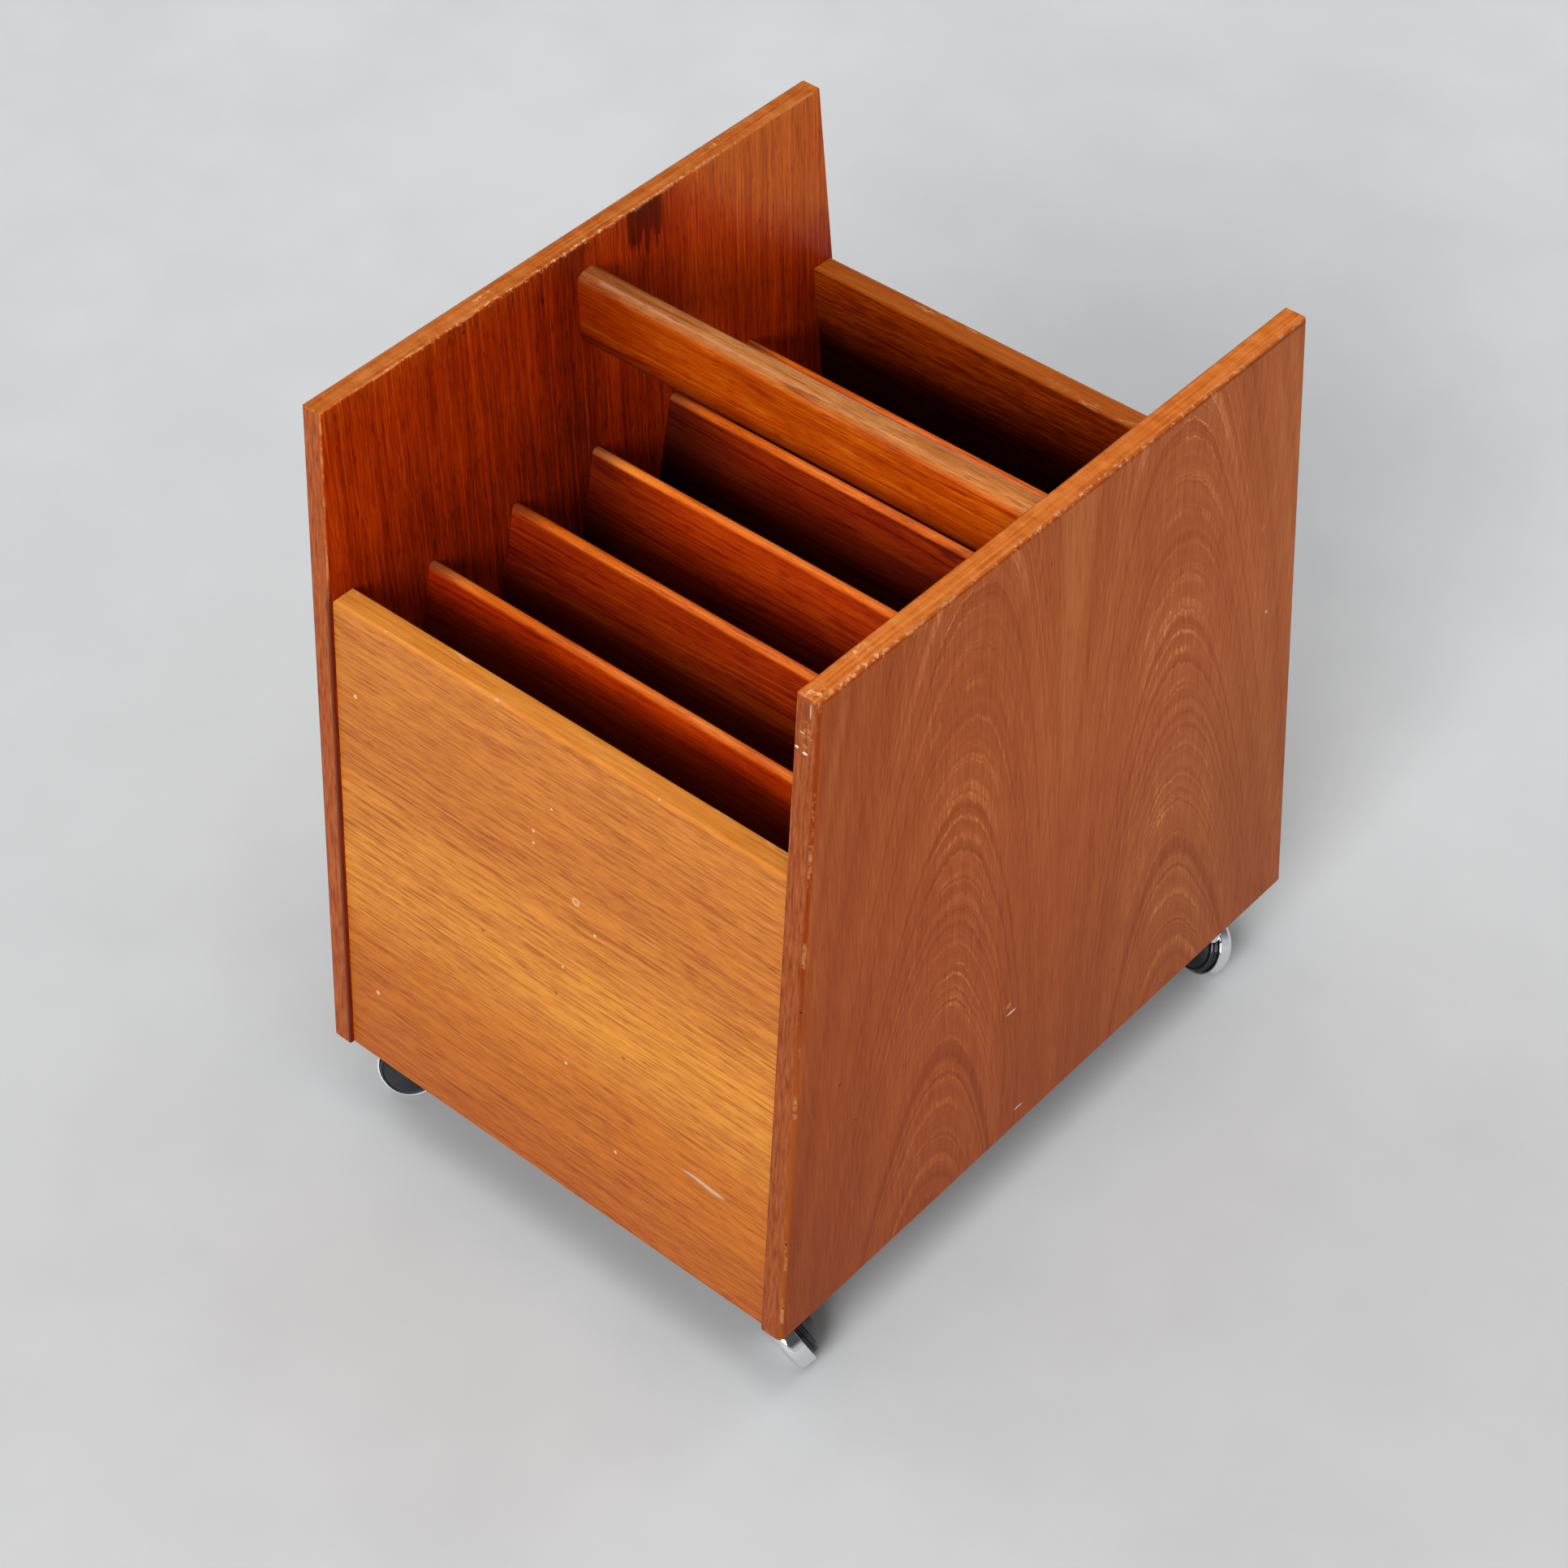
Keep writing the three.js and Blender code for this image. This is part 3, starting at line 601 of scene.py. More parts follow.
def sideFinish(name, hand, look):
    finish = Finish(name, Specular_IOR_Level=0.08)
    x, y, z = finish.axes()
    up = z - floorLine
    depth = outerFace - x * hand  # below the outer face
    rise = thickness - depth  # below the inner face
    rim = (halfDepth - up * slope - y.size()).least(topLine - z)  # in from the nearest edge
    atTop = (topLine - z).under(0.6 * mm, 1.5 * mm)
    fibre, _, pores = grain = finish.grain(x, y, z, (3.1 * hand, 5.7, 0.4))
    colour = depth.over(0.4 * thickness, 0.6 * thickness).blend(
        outerVeneer(finish, hand, y, z, grain), innerVeneer(finish, hand, y, z, grain),
    )

    # solid lipping between the two skins
    lengthways = finish.noise((700, 700, 14), 4, 0.6, (1, 2, 3), finish.point(x, z, y))
    blotches = finish.noise((90, 130, 90), 4, 0.7, (2, hand, 6))
    edgeTone = finish.node("Mix", {}, {0: atTop, 2: fibre, 3: lengthways * 0.6 + blotches * 0.45 - 0.01})
    lipping = depth.over(0.75 * edging["skin"], edging["skin"])
    lipping = lipping * depth.under(*(thickness - skin for skin in edging["innerSkin"]))
    lipping = lipping * rim.under(1.9 * mm, 2.7 * mm)
    frontLight, topLight = look["edgeLight"]
    colour = lipping.blend(colour, atTop.blend(
        edgeTone.ramp(tones(frontLight, 0.016, *edging["front"])),
        edgeTone.ramp(tones(topLight, 0.02, *edging["top"])),
    ))

    # worn arrises, rubbed through here and there, and a painted shadow line beside the front panel
    rubbed = finish.noise((60, 60, 36), 5, 0.75, (7, 1, 8))
    arris = (rim + depth).under(1.7 * mm, 2.5 * mm)
    arrisColour = up.over(0.14, 0.24).blend(edging["lowArris"], edging["highArris"])
    colour = (arris * (0.85 - atTop * 0.45)).blend(colour, arrisColour)
    through = (rim + depth).under(1.75 * mm, 2.1 * mm) * rubbed.over(0.52, 0.62)
    colour = (through * 0.5).blend(colour, edging["rubbedThrough"])
    innerArris = (rim + rise).under(0.7 * mm, 1.2 * mm)
    exposed = up.over(*edging["panelTop"])
    innerArris = innerArris * rubbed.over(0.46, 0.62) * exposed * 0.45
    colour = innerArris.blend(colour, edging["innerArris"])
    # painted shadow: the inner skin darkened beside the front and back panels, below the front panel's top
    paintedShadowLine = rise.under(0.9 * mm, 2.2 * mm) * rim.under(0.8 * mm, 1.6 * mm)
    colour = (paintedShadowLine * (1 - exposed) * look["paintedShadowLine"]).blend(colour, edging["paintedShadowLine"])
    flecks = finish.noise((420, 300, 420), 3, 0.7, (6, 6, 6)).over(0.54, 0.62)
    for *place, reach, strength in look["scuffs"]:
        here = finish.spot(sidePoint(hand, *place), reach, 0.7)
        colour = (here * flecks * strength).blend(colour, bareWood)
    placed = [(sidePoint(hand, *row[:3]), *row[3:]) for row in look["marks"]]
    colour = finish.marks(colour, placed + bareNicks(hand, 1.15, 0.75))
    return finish.close(colour, fibre, pores)


# Marks and scuffs, in millimetres: distance from the outer face, place along the board, height,
# half sizes, the colour of a mark, and strength.
pale = paint(226, 206, 190, 0.8)
orange = paint(200, 104, 50, 0.75)
brown = paint(70, 30, 18, 0.75)
brim = topLine / mm
rightLook = {
    "edgeLight": (1.22, 1.07),
    # strength of the painted shadow line beside the front panel
    "paintedShadowLine": 0.15,
    "marks": [
        (0, -31.7, 142, (2, 4.4, 0.8), pale, 1),
        (0, -34, 148, (2, 2.6, 2), orange, 0.9),
        (0, -22.7, 66, (2, 4.2, 0.6), pale, 0.9),
        (0, 158, 267.7, (2, 1.3, 0.9), pale, 0.8),
        (0, 91, 238, (2, 1, 3.4), orange, 0.8),
        (0, -145.7, 165, (2, 0.9, 0.9), brown, 0.8),
        (0, -156.7, 198, (2, 0.9, 1.1), brown, 0.8),
        (0, 51, 104, (2, 1, 1), brown, 0.8),
        (0, 148, 326, (2, 2, 3), orange, 0.5),
        (10.9, -169, 408.3, (1.3, 5, 0.8), pale, 1),
        (6.5, -169, 407.1, (1.7, 5, 0.8), pale, 1),
        (7, -169, 429, (1.7, 5, 6), paint(120, 56, 32, 1.15), 0.6),
        (4.8, -169, 430, (0.5, 5, 5), pale, 0.35),
        (8.6, -169, 417, (1.8, 5, 0.5), pale, 0.4),
    ],
    "scuffs": [
        (6, -164, brim, (8, 7, 4), 0.9),
        (2, -140, brim, (2.4, 34, 3), 0.75),
        (9, -134, brim, (4, 10, 3), 0.8),
        (1.6, 20, brim - 0.6, (1.8, 200, 2.4), 0.6),
        (5, -170, 416, (5, 4, 20), 0.35),
    ],
}
leftLook = {
    "edgeLight": (1.03, 1.27),
    # strength of the painted shadow line beside the front panel
    "paintedShadowLine": 0.85,
    "marks": [
        (0, 62, 210, (2, 3.8, 0.7), pale, 0.9),
        (0, -90, 330, (2, 1, 3), orange, 0.8),
        (0, 120, 120, (2, 1.1, 1.1), brown, 0.8),
        (thickness / mm, -79, 430, (3, 1.6, 1), paint(60, 12, 1, 0.62), 0.8),
    ],
    "scuffs": [
        (7, -168, brim, (9, 1.6, 2), 0.8),
        (thickness / mm - 0.4, -10, brim, (1.7, 190, 2.6), 0.9),
        (6, -60, brim, (4, 9, 2), 0.6),
        (5, 96, brim, (5, 12, 2), 0.6),
    ],
}
sideFinishes = {
    -1: sideFinish("SideTeakLeft", -1, leftLook), 1: sideFinish("SideTeakRight", 1, rightLook),
}


# How the light fades down a pocket, by distance below the top of the board in front of it.
pocketShade = [
    (0, (1, 1, 1)), (0.14, (0.95, 0.9, 0.9)), (0.3, (0.7, 0.62, 0.62)),
    (0.5, (0.42, 0.34, 0.34)), (0.8, (0.2, 0.14, 0.14)), (1, (0.12, 0.08, 0.08)),
]


def pocketLight(below, reach, fade):
    # the lowest part is dark enough under its boards, and keeps most of its own colour
    return below.over(78 * mm, 130 * mm).blend((below / reach).ramp(fade), (0.7, 0.66, 0.66, 1))


panelTeak = {
    "bandHeight": 0.29,
    "bands": tones(
        1.07, 0.013, (0.02, 182, 97, 44), (0.17, 192, 107, 46), (0.27, 201, 116, 49), (0.35, 210, 130, 57),
        (0.44, 217, 138, 60), (0.53, 214, 134, 59), (0.61, 207, 126, 57), (0.68, 198, 117, 55),
        (0.78, 200, 118, 55), (0.95, 205, 124, 59),
    ),
    "figure": [
        (0.08, (0.6, 0.48, 0.44)), (0.32, (0.85, 0.78, 0.75)), (0.54, (1, 1.01, 0.98)),
        (0.88, (1.18, 1.3, 1.16)),
    ],
    "inner": tones(0.6, 0, (0.2, 94, 24, 1), (0.5, 134, 44, 2), (0.8, 156, 62, 8)),
    "rubbedColour": paint(236, 178, 116, 1.05),
    "pocketReach": 60 * mm,
}


def panelFinish(name, end, topTones, marks):
    finish = Finish(name, Specular_IOR_Level=0.12)
    x, y, z = finish.axes()
    up, below = z - floorLine, capHigh.z - z
    flat = finish.point(z, y, x)
    fibre, _, pores = finish.grain(z, y, x, (2.3, 8.1 * end, 4.4))
    dashes = finish.noise((1350, 1350, 75), 3, 0.7, (5, end, 1), flat)
    streaks = finish.noise((640, 640, 13), 3, 0.65, (7, end, 2), flat)
    patches = finish.noise((60, 60, 22), 4, 0.65, (2, end, 5), flat)
    crisp = (dashes + patches.swing(0.2) + streaks.swing(0.4)).over(0.36, 0.66)
    wander = finish.noise((6, 6, 30), 2, 0.5, (1, end, 6)).swing(0.02)
    base = ((up + wander) / panelTeak["bandHeight"]).ramp(panelTeak["bands"])
    gold = up.over(0.08, 0.13) * up.under(0.18, 0.215)
    tone = 0.53 + fibre.swing(0.8) + crisp.swing(0.5) + patches.swing(0.12) - pores * 0.18
    tone = tone + streaks.over(0.34, 0.66).swing(0.14 + gold * 0.2)
    colour = base.tint(tone.ramp(panelTeak["figure"]))
    behind = (y * end - (halfDepth - up * slope)) * -1
    innerHalf = behind.over(0.45 * panels["thickness"], 0.75 * panels["thickness"])
    pocket = pocketLight(below, panelTeak["pocketReach"], pocketShade)
    colour = innerHalf.blend(colour, tone.ramp(panelTeak["inner"]).tint(pocket))
    atTop = below.under(1.2 * mm, 2.4 * mm)
    topTone = 0.5 + fibre.swing(0.5) + streaks.swing(0.6) + patches.swing(0.3)
    colour = atTop.blend(colour, topTone.ramp(topTones))
    rubbed = finish.noise((26, 90, 90), 4, 0.7, (3, 1, 2)).over(0.6, 0.7)
    colour = (atTop * rubbed * 0.45).blend(colour, panelTeak["rubbedColour"])
    return finish.close(finish.marks(colour, marks), fibre, pores)


def frontMarks():
    # in millimetres: place along X, height above the foot, half sizes along X and Z, colour, strength
    face, through = -190, 30
    pale, dark, teak = paint(244, 206, 160), paint(120, 62, 26, 1.1), paint(199, 117, 56, 1.1)
    white = paint(206, 172, 140, 1.1)
    rows = [
        (x, up, reach, reach, pale, strength)
        for x, up, reach, strength in (
            (-11.2, 216.7, 1.2, 0.8), (-11.2, 209.5, 1.1, 0.7), (0, 236, 1.1, 0.7),
            (-125.7, 229.7, 1.6, 0.8), (27.2, 177, 1.2, 0.7), (7.2, 145, 1.1, 0.6),
            (9.5, 84.5, 1.2, 0.7), (42, 47.7, 1.2, 0.7), (-118.7, 46, 1.7, 0.6), (15.2, 190, 3, 0.75),
        )
    ]
    rows.append((15.2, 190, 2.2, 2.2, teak, 0.8))
    rows += [(x, up, 1.4, 1.2, dark, 0.7) for x, up in ((-44.5, 135), (3, 126), (46, 112.5))]
    rows += [
        (x, up, wide, tall, white, 0.85)
        for x, up, wide, tall in ((91.5, 66.6, 9, 1.3), (98, 66, 7.5, 1.4), (104, 65.2, 8.5, 1.7))
    ]
    placed = [
        ((x, face, floorLine / mm + up), (wide, through, tall), colour, strength)
        for x, up, wide, tall, colour, strength in rows
    ]
    return placed + bareNicks(0, 1.2, 0.8)


frontTeak = panelFinish(
    "FrontPanelTeak", -1, tones(1.07, 0.02, (0.2, 180, 100, 44), (0.5, 210, 131, 60), (0.8, 234, 160, 86)),
    frontMarks(),
)
backTeak = panelFinish(
    "BackPanelTeak", 1, tones(0.92, 0.02, (0.2, 142, 66, 30), (0.5, 168, 88, 42), (0.8, 186, 108, 58)), [])


# Solid teak, grain along X: the dividers and the rail. The top of a piece may differ from its faces.
solidTeak = {
    "fade": pocketShade, "reach": 60 * mm,  # the light down its faces
    "left": 1, "shadowEnds": (-136 * mm, -70 * mm),  # the shadow of the left side
    "wallShade": (0.34, 0.34, 0.9, 1), "wallReach": (-137 * mm, -108 * mm),  # and on its top
    "ends": None, "edge": 3.2 * mm, "waves": 0.05, "cloud": 0.4, "gloss": 0.42,
}


def solidFinish(name, faces, tops, topLevel, shift, **changes):
    look = {**solidTeak, **changes}
    finish = Finish(name, Specular_IOR_Level=0.25)
    x, y, z = finish.axes()
    below = topLevel - z
    height = z + y * math.tan(divider["lean"])
    fibre, bands, pores = finish.grain(height, y, x, shift)
    flat = finish.point(height, y, x)
    lines = finish.noise((330, 330, 5), 2, 0.5, shift, flat).over(0.5, 0.64)
    mottle = finish.noise((70, 70, 24), 3, 0.6, shift, flat)
    wander = finish.noise((9, 9, 4), 1, 0.5, shift, flat)
    curl = finish.rings(height + wander.swing(0.09), 150, 1, 0.5)
    curl = (curl - 0.5).size().under(0, 0.07)
    veins = (finish.noise((90, 90, 2.6), 2, 0.5, shift, flat) - 0.5).size().under(0, 0.018)
    tone = 0.54 + fibre.swing(0.5) + bands.swing(0.5) + mottle.swing(look["cloud"])
    tone = tone + curl * look["waves"] - lines * 0.1 - veins * 0.26 - pores * 0.16
    colour = tone.ramp(faces).tint(pocketLight(below, look["reach"], look["fade"]))
    left = look["left"]
    nearLeft = x.under(*look["shadowEnds"])
    colour = colour.tint(nearLeft.blend(untinted, (left, left * 0.8, left * 0.8, 1)))
    rubbed = finish.noise((60, 60, 11), 2, 0.5, shift, flat)
    topColour = (tone + rubbed.swing(0.5 if look["ends"] else 0.9)).ramp(tops)
    if not look["ends"]:
        nearWall = x.under(*look["wallReach"])
        topColour = topColour.tint(nearWall.blend(untinted, look["wallShade"]))
    colour = below.under(1 * mm, look["edge"]).blend(colour, topColour)
    # painted shade and painted sheen along the piece, from one end to the other
    if look["ends"]:
        colour = colour.tint((x / 0.28 + 0.5).ramp(look["ends"]))
    return finish.close(colour, fibre, pores, look["gloss"])


# A divider's faces and top in their light, how far down it is lit, and the left side's shadow on it.
steadyShade = [
    (0, (1, 1, 1)), (0.25, (0.86, 0.82, 0.82)), (0.5, (0.72, 0.66, 0.66)),
    (0.66, (0.38, 0.31, 0.31)), (0.78, (0.2, 0.15, 0.15)), (1, (0.14, 0.1, 0.1)),
]
dividerLooks = [
    (0.66, 0.92, {"reach": 38 * mm}),
    (1.12, 0.93, {"fade": steadyShade, "left": 0.85, "waves": 0.17}),
    (0.86, 0.8, {"fade": steadyShade, "left": 0.36}),
    (1.26, 0.9, {"reach": 52 * mm, "left": 0.3, "waves": 0.08}),
    (0.95, 0.76, {"left": 0.9}),
]
dividerFinishes = [
    solidFinish(
        f"DividerTeak{index + 1}",
        tones(face, 0, (0.2, 108, 16, 0), (0.42, 140, 33, 0), (0.58, 160, 47, 0), (0.85, 186, 76, 6)),
        tones(crown, 0, (0.2, 152, 54, 2), (0.5, 194, 86, 8), (0.85, 218, 122, 42)),
        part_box(f"divider_{index + 1}")[1].z, (1.7 * index, 3.3 * index, 2.1 * index), **changes,
    )
    for index, (face, crown, changes) in enumerate(dividerLooks)
]
railTeak = solidFinish(
    "RailTeak", tones(0.96, 0, (0.2, 132, 36, 0), (0.5, 174, 67, 2), (0.8, 204, 108, 24)),
    tones(1.46, 0, (0.2, 152, 75, 28), (0.5, 197, 115, 48), (0.8, 226, 153, 86)),
    railHigh.z, (6, 2, 9), reach=railHigh.z - railLow.z, left=0.8,
    # painted shade towards the rail's rounded underside
    fade=[(0, (1, 1, 1)), (0.68, (1, 1, 1)), (0.82, (0.5, 0.34, 0.4)), (1, (0.2, 0.12, 0.16))],
    # painted shade at the left end, beside the left side, and painted sheen growing towards the right end
    ends=[(0, (0.6, 0.44, 0.5)), (0.3, (1, 1, 1)), (0.7, (1.08, 1.1, 1.1)), (1, (1.36, 1.4, 1.36))],
    edge=4.8 * mm, cloud=0.5, gloss=0.28,
)
boardTones = tones(1, 0, (0.2, 120, 56, 22), (0.5, 166, 88, 38), (0.8, 196, 118, 58))
boardTeak = solidFinish(
    "BottomTeak", boardTones, boardTones, boardHigh.z, (2, 7, 1), fade=[(0, (1, 1, 1)), (1, (1, 1, 1))])


def paleWood(name, stops, grainAlong):
    finish = Finish(name, Specular_IOR_Level=0.25)
    x, y, z = finish.axes()
    across = (x, z, y) if grainAlong == "y" else (z, y, x)
    fibre, bands, pores = finish.grain(*across, (4, 4, 1))
    tone = 0.5 + fibre.swing(0.4) + bands.swing(0.8) - pores * 0.05
    finish.feed("Base Color", tone.ramp(tones(1, 0, *stops)))
    finish.feed("Roughness", 0.62 - fibre * 0.1)
    finish.relief(fibre, 0.12 * mm)
    return finish


softwood = paleWood("BlockSoftwood", ((0.2, 170, 122, 72), (0.5, 204, 164, 112), (0.8, 222, 190, 142)), "y")
beech = paleWood("DowelBeech", ((0.2, 190, 146, 100), (0.5, 212, 174, 128), (0.8, 226, 194, 150)), "x")


# Castor metals and plastic
def castorFinish(name, plain, dusty, roughness, spread, speck, **constants):
    finish = Finish(name, **constants)
    cloud = finish.noise((180, 180, 180), 3, 0.6)
    dust = finish.noise((1500, 1500, 1500), 2, 0.5, (3, 1, 4)).over(speck, speck + 0.08)
    finish.feed("Base Color", (dust * 0.7).blend((*plain, 1), (*dusty, 1)))
    finish.feed("Roughness", cloud * spread + dust * 0.25 + (roughness - spread / 2))
    return finish


greyDust = (0.03, 0.03, 0.032)
chrome = castorFinish(
    "CastorChrome", (0.8, 0.82, 0.84), (0.5, 0.5, 0.5), roughness=0.06, spread=0.04, speck=0.7, Metallic=1)
zinc = castorFinish(
    "CastorZinc", (0.52, 0.53, 0.55), (0.3, 0.28, 0.25), roughness=0.36, spread=0.16, speck=0.6, Metallic=1)
blackPlastic = castorFinish(
    "CastorBlack", (0.004, 0.004, 0.005), greyDust, roughness=0.17, spread=0.08, speck=0.7)
capPlastic = castorFinish(
    "CastorCapBlack", (0.007, 0.008, 0.0105), greyDust, roughness=0.24, spread=0.08, speck=0.7)
print("finishes made:", len(bpy.data.materials))

# Boards
for hand, word in ((-1, "left"), (1, "right")):
    piece = sidePanel("SidePanel" + word.capitalize(), hand)
    lippings = [f"side_lipping_{edge}_{word}" for edge in ("front", "top", "back")]
    dress(piece, sideFinishes[hand], "cabinet", [f"side_panel_{word}", *lippings])
print("sides shaped")

for end, word, finish in ((-1, "front", frontTeak), (1, "back", backTeak)):
    piece = boardPanel(word.capitalize() + "Panel", end, word + "_panel")
    dress(piece, finish, "cabinet", [word + "_panel", word + "_panel_lipping"])
for number, finish in zip(dividerNumbers, dividerFinishes):
    node = f"divider_{number}"
    piece = dividerBlank(f"Divider{number}", node, 0, boardHigh.z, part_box(node)[1].x)
    dress(piece, finish, "cabinet", [node])
rail = block("CarryRail", railLow, railHigh)
roundEdges(rail, lambda a, b: abs(a.x - b.x) > innerFace, *railRound)
carve(rail, dowelCutters(member="carry_rail"))
dress(rail, railTeak, "cabinet", ["carry_rail"])
print("boards between the sides shaped")


# Castors, in millimetres, modelled once with the swivel axis upright at the origin.
def arcRings(radius, along, corner, start, end, steps):
    turns = [math.radians(start + (end - start) * step / steps) for step in range(steps + 1)]
    return [(radius + corner * math.cos(turn), along + corner * math.sin(turn)) for turn in turns]


def turned(name, rings, segments=96, hollow=False):
    # a circle about Z drawn up ring by ring, as [radius, distance along Z]: a disc grows into a solid
    # with both ends closed, and the edge of a hollow piece goes round its section and joins itself
    (radius, along), *rest = rings + rings[:1] if hollow else rings
    letGo()
    bpy.ops.mesh.primitive_circle_add(
        vertices=segments, radius=radius * mm, fill_type="NOTHING" if hollow else "NGON",
        location=(0, 0, along * mm),
    )
    piece = startPiece(name)
    mode("EDIT")
    bpy.ops.mesh.select_mode(type="EDGE" if hollow else "FACE")
    bpy.ops.mesh.select_all(action="SELECT")
    extrude = bpy.ops.mesh.extrude_edges_move if hollow else bpy.ops.mesh.extrude_region_move
    for nextRadius, nextAlong in rest:
        extrude(TRANSFORM_OT_translate={"value": (0, 0, (nextAlong - along) * mm)})
        share = nextRadius / radius
        bpy.ops.transform.resize(value=(share, share, 1), center_override=(0, 0, nextAlong * mm))
        radius, along = nextRadius, nextAlong
    bpy.ops.mesh.select_all(action="SELECT")
    if hollow:
        bpy.ops.mesh.remove_doubles(threshold=0.001 * mm)
    bpy.ops.mesh.normals_make_consistent(inside=False)
    mode("OBJECT")
    return piece


joints = {joint["name"]: joint for joint in frame["joints"]}


def castorPlace(corner):  # swivel point, yaw and tilt of one castor
    pivot = Vector(joints["swivel_" + corner]["pos_m"])
    hub = Vector(joints["roll_" + corner]["pos_m"])
    axis = Vector(joints["roll_" + corner]["axis"])
    yaw = math.atan2(axis.y, axis.x)
    offset = Matrix.Rotation(-yaw, 3, "Z") @ Vector((hub.x - pivot.x, hub.y - pivot.y, hub.z))
    return pivot, yaw, math.asin(axis.z), offset


tilt, wheelCentre = castorPlace("front_left")[2:]


def ontoAxle(piece):  # from upright to the inclined axle
    takeUp(piece)
    piece.rotation_euler = (0, math.pi / 2 - tilt, 0)
    piece.location = wheelCentre
    return apply(piece)


castor = {
    "hoodRadius": 16.8, "hoodDepth": 10.4, "hoodCorner": 4.5, "wall": 1,
    "rimRadius": 15.3, "rimRound": 0.6,
    "neckFoot": 22, "neckTop": 49.2, "neckRadius": 7.5, "neckBase": 9.5,
    "boss": (4.2, -7), "axleBore": 2.3, "pinBore": 4.3, "pinBoreFoot": 37.2,
    "hollowEnd": 11.1, "floorGap": 0.6, "neckRound": 0.8, "flareFrom": 0.15, "flareLength": 0.5,
    "wheel": [
        (2.3, -6.7), (4.8, -6.7), (4.8, -1.5), (5.1, -1.2), (11.9, -1.2), (12.25, -1.5), (12.25, -7.3),
        (14.1, -7.3), (14.95, -6), (14.95, 1.3), (14.86, 1.62), (14.7, 1.8), (14.45, 1.9), (12.6, 1.9),
        (12.3, 1.75), (12.2, 1.4), (12, 1.2), (4.8, 1.2), (4.8, 2.9), (4.6, 3.1), (2.3, 3.1),
    ],
    "capRim": [
        (14.5, 2.2), (14.5, 2.75), (14.4, 3.15), (14.15, 3.55), (13.8, 3.85), (13.5, 3.98), (13.3, 3.95),
        (13.2, 3.7), (13.1, 3.35), (12.6, 3.3), (12.45, 3.6), (12.38, 4.2),
    ],
    "dome": (4.2, 6, 13.3, 1.3),  # foot, rise, radius and curve
    "capWall": 1.3,
    "plate": (17, 51.5, 54, 5),  # half width, foot, top and corner radius
    "race": [(9, 49.5), (9.7, 49.8), (10, 50.5), (10, 52.5)],
    "pinSeat": 6.8, "seatFoot": 52.2, "screwHole": 2, "screwReach": 12,
    "screw": [
        (1.7, 53.9), (1.7, 51.5), (3.3, 51.5), (3.3, 51.1), (3.05, 50.6), (2.5, 50.2), (1.6, 49.95),
        (0.5, 49.85),
    ],
    "slotHalf": 0.4, "slotTop": 50.5,
}
quarters = ((1, 1), (1, -1), (-1, 1), (-1, -1))
beyond = 1  # how far a cutter stands out of what it cuts


def bore(name, low, high, segments):  # a plain cutter about Z, with its radius from the dictionary
    return turned(name, [(castor[name], low), (castor[name], high)], segments)


def hoodPiece():
    back, corner, radius = -castor["hoodDepth"], castor["hoodCorner"], castor["hoodRadius"]
    wall, roll = castor["wall"], castor["rimRound"]
    hood = ontoAxle(turned("Hood", [
        *arcRings(radius - corner, back + corner, corner, -90, 0, 10),
        *arcRings(radius - roll, -roll, roll, 0, 90, 5),
    ]))
    foot, top, slim, ease = castor["neckFoot"], castor["neckTop"], castor["neckRadius"], castor["neckRound"]

    def neckRadius(share):  # it narrows smoothly on its way up
        flare = min(1, max(0, (share - castor["flareFrom"]) / castor["flareLength"]))
        return castor["neckBase"] - (castor["neckBase"] - slim) * flare * flare * (3 - 2 * flare)

    neck = turned("Neck", [
        *((neckRadius(step / 14), foot + (top - foot - ease) * step / 14) for step in range(15)),
        *arcRings(slim - ease, top - ease, ease, 15, 90, 4),
    ], 64)
    carve(hood, [neck], "UNION")
    mouth = castor["rimRadius"]
    hollow = ontoAxle(turned("Hollow", [
        *arcRings(radius - corner, back + corner, corner - wall, -90, 0, 8),
        (radius - wall, -1.6), (mouth, -1.1), (mouth, -0.45),
        (mouth + 0.12, -0.16), (mouth + 0.4, 0.05), (mouth + 0.4, castor["hollowEnd"]),
    ]))
    reach = 40 * mm
    ground = block("Ground", (-reach, -reach, -reach), (reach, reach, castor["floorGap"] * mm))
    carve(hood, [hollow, ground])
    stout, end = castor["boss"]
    boss = ontoAxle(turned("Boss", [(stout, back + wall / 2), (stout, end - 0.3), (stout - 0.3, end)], 40))
    carve(hood, [boss], "UNION")
    axleBore = ontoAxle(bore("axleBore", back + wall / 2, end + beyond, 32))
    carve(hood, [axleBore, bore("pinBore", castor["pinBoreFoot"], top + beyond, 40)])
    return hood


def wheelPiece():
    return ontoAxle(turned("Wheel", castor["wheel"], hollow=True))


def capPiece():
    # rolled bead, fine groove and a nearly conical dome, on a hollow shell
    foot, rise, rim, curve = castor["dome"]

    def dome(radius):
        return foot + rise * (1 - (radius / rim) ** curve)

    outside = (12.2, 11.4, 10.4, 9.2, 8, 6.8, 5.6, 4.4, 3.3, 2.3, 1.5, 0.9, 0.4)
    inside = (0.4, 2, 4, 6, 8, 10, 11.6)
    return ontoAxle(turned("Cap", [
        *((radius, dome(radius) - castor["capWall"]) for radius in inside), (12, 3.2), (12, 2.2),
        *castor["capRim"], *((radius, dome(radius)) for radius in outside),
    ]))


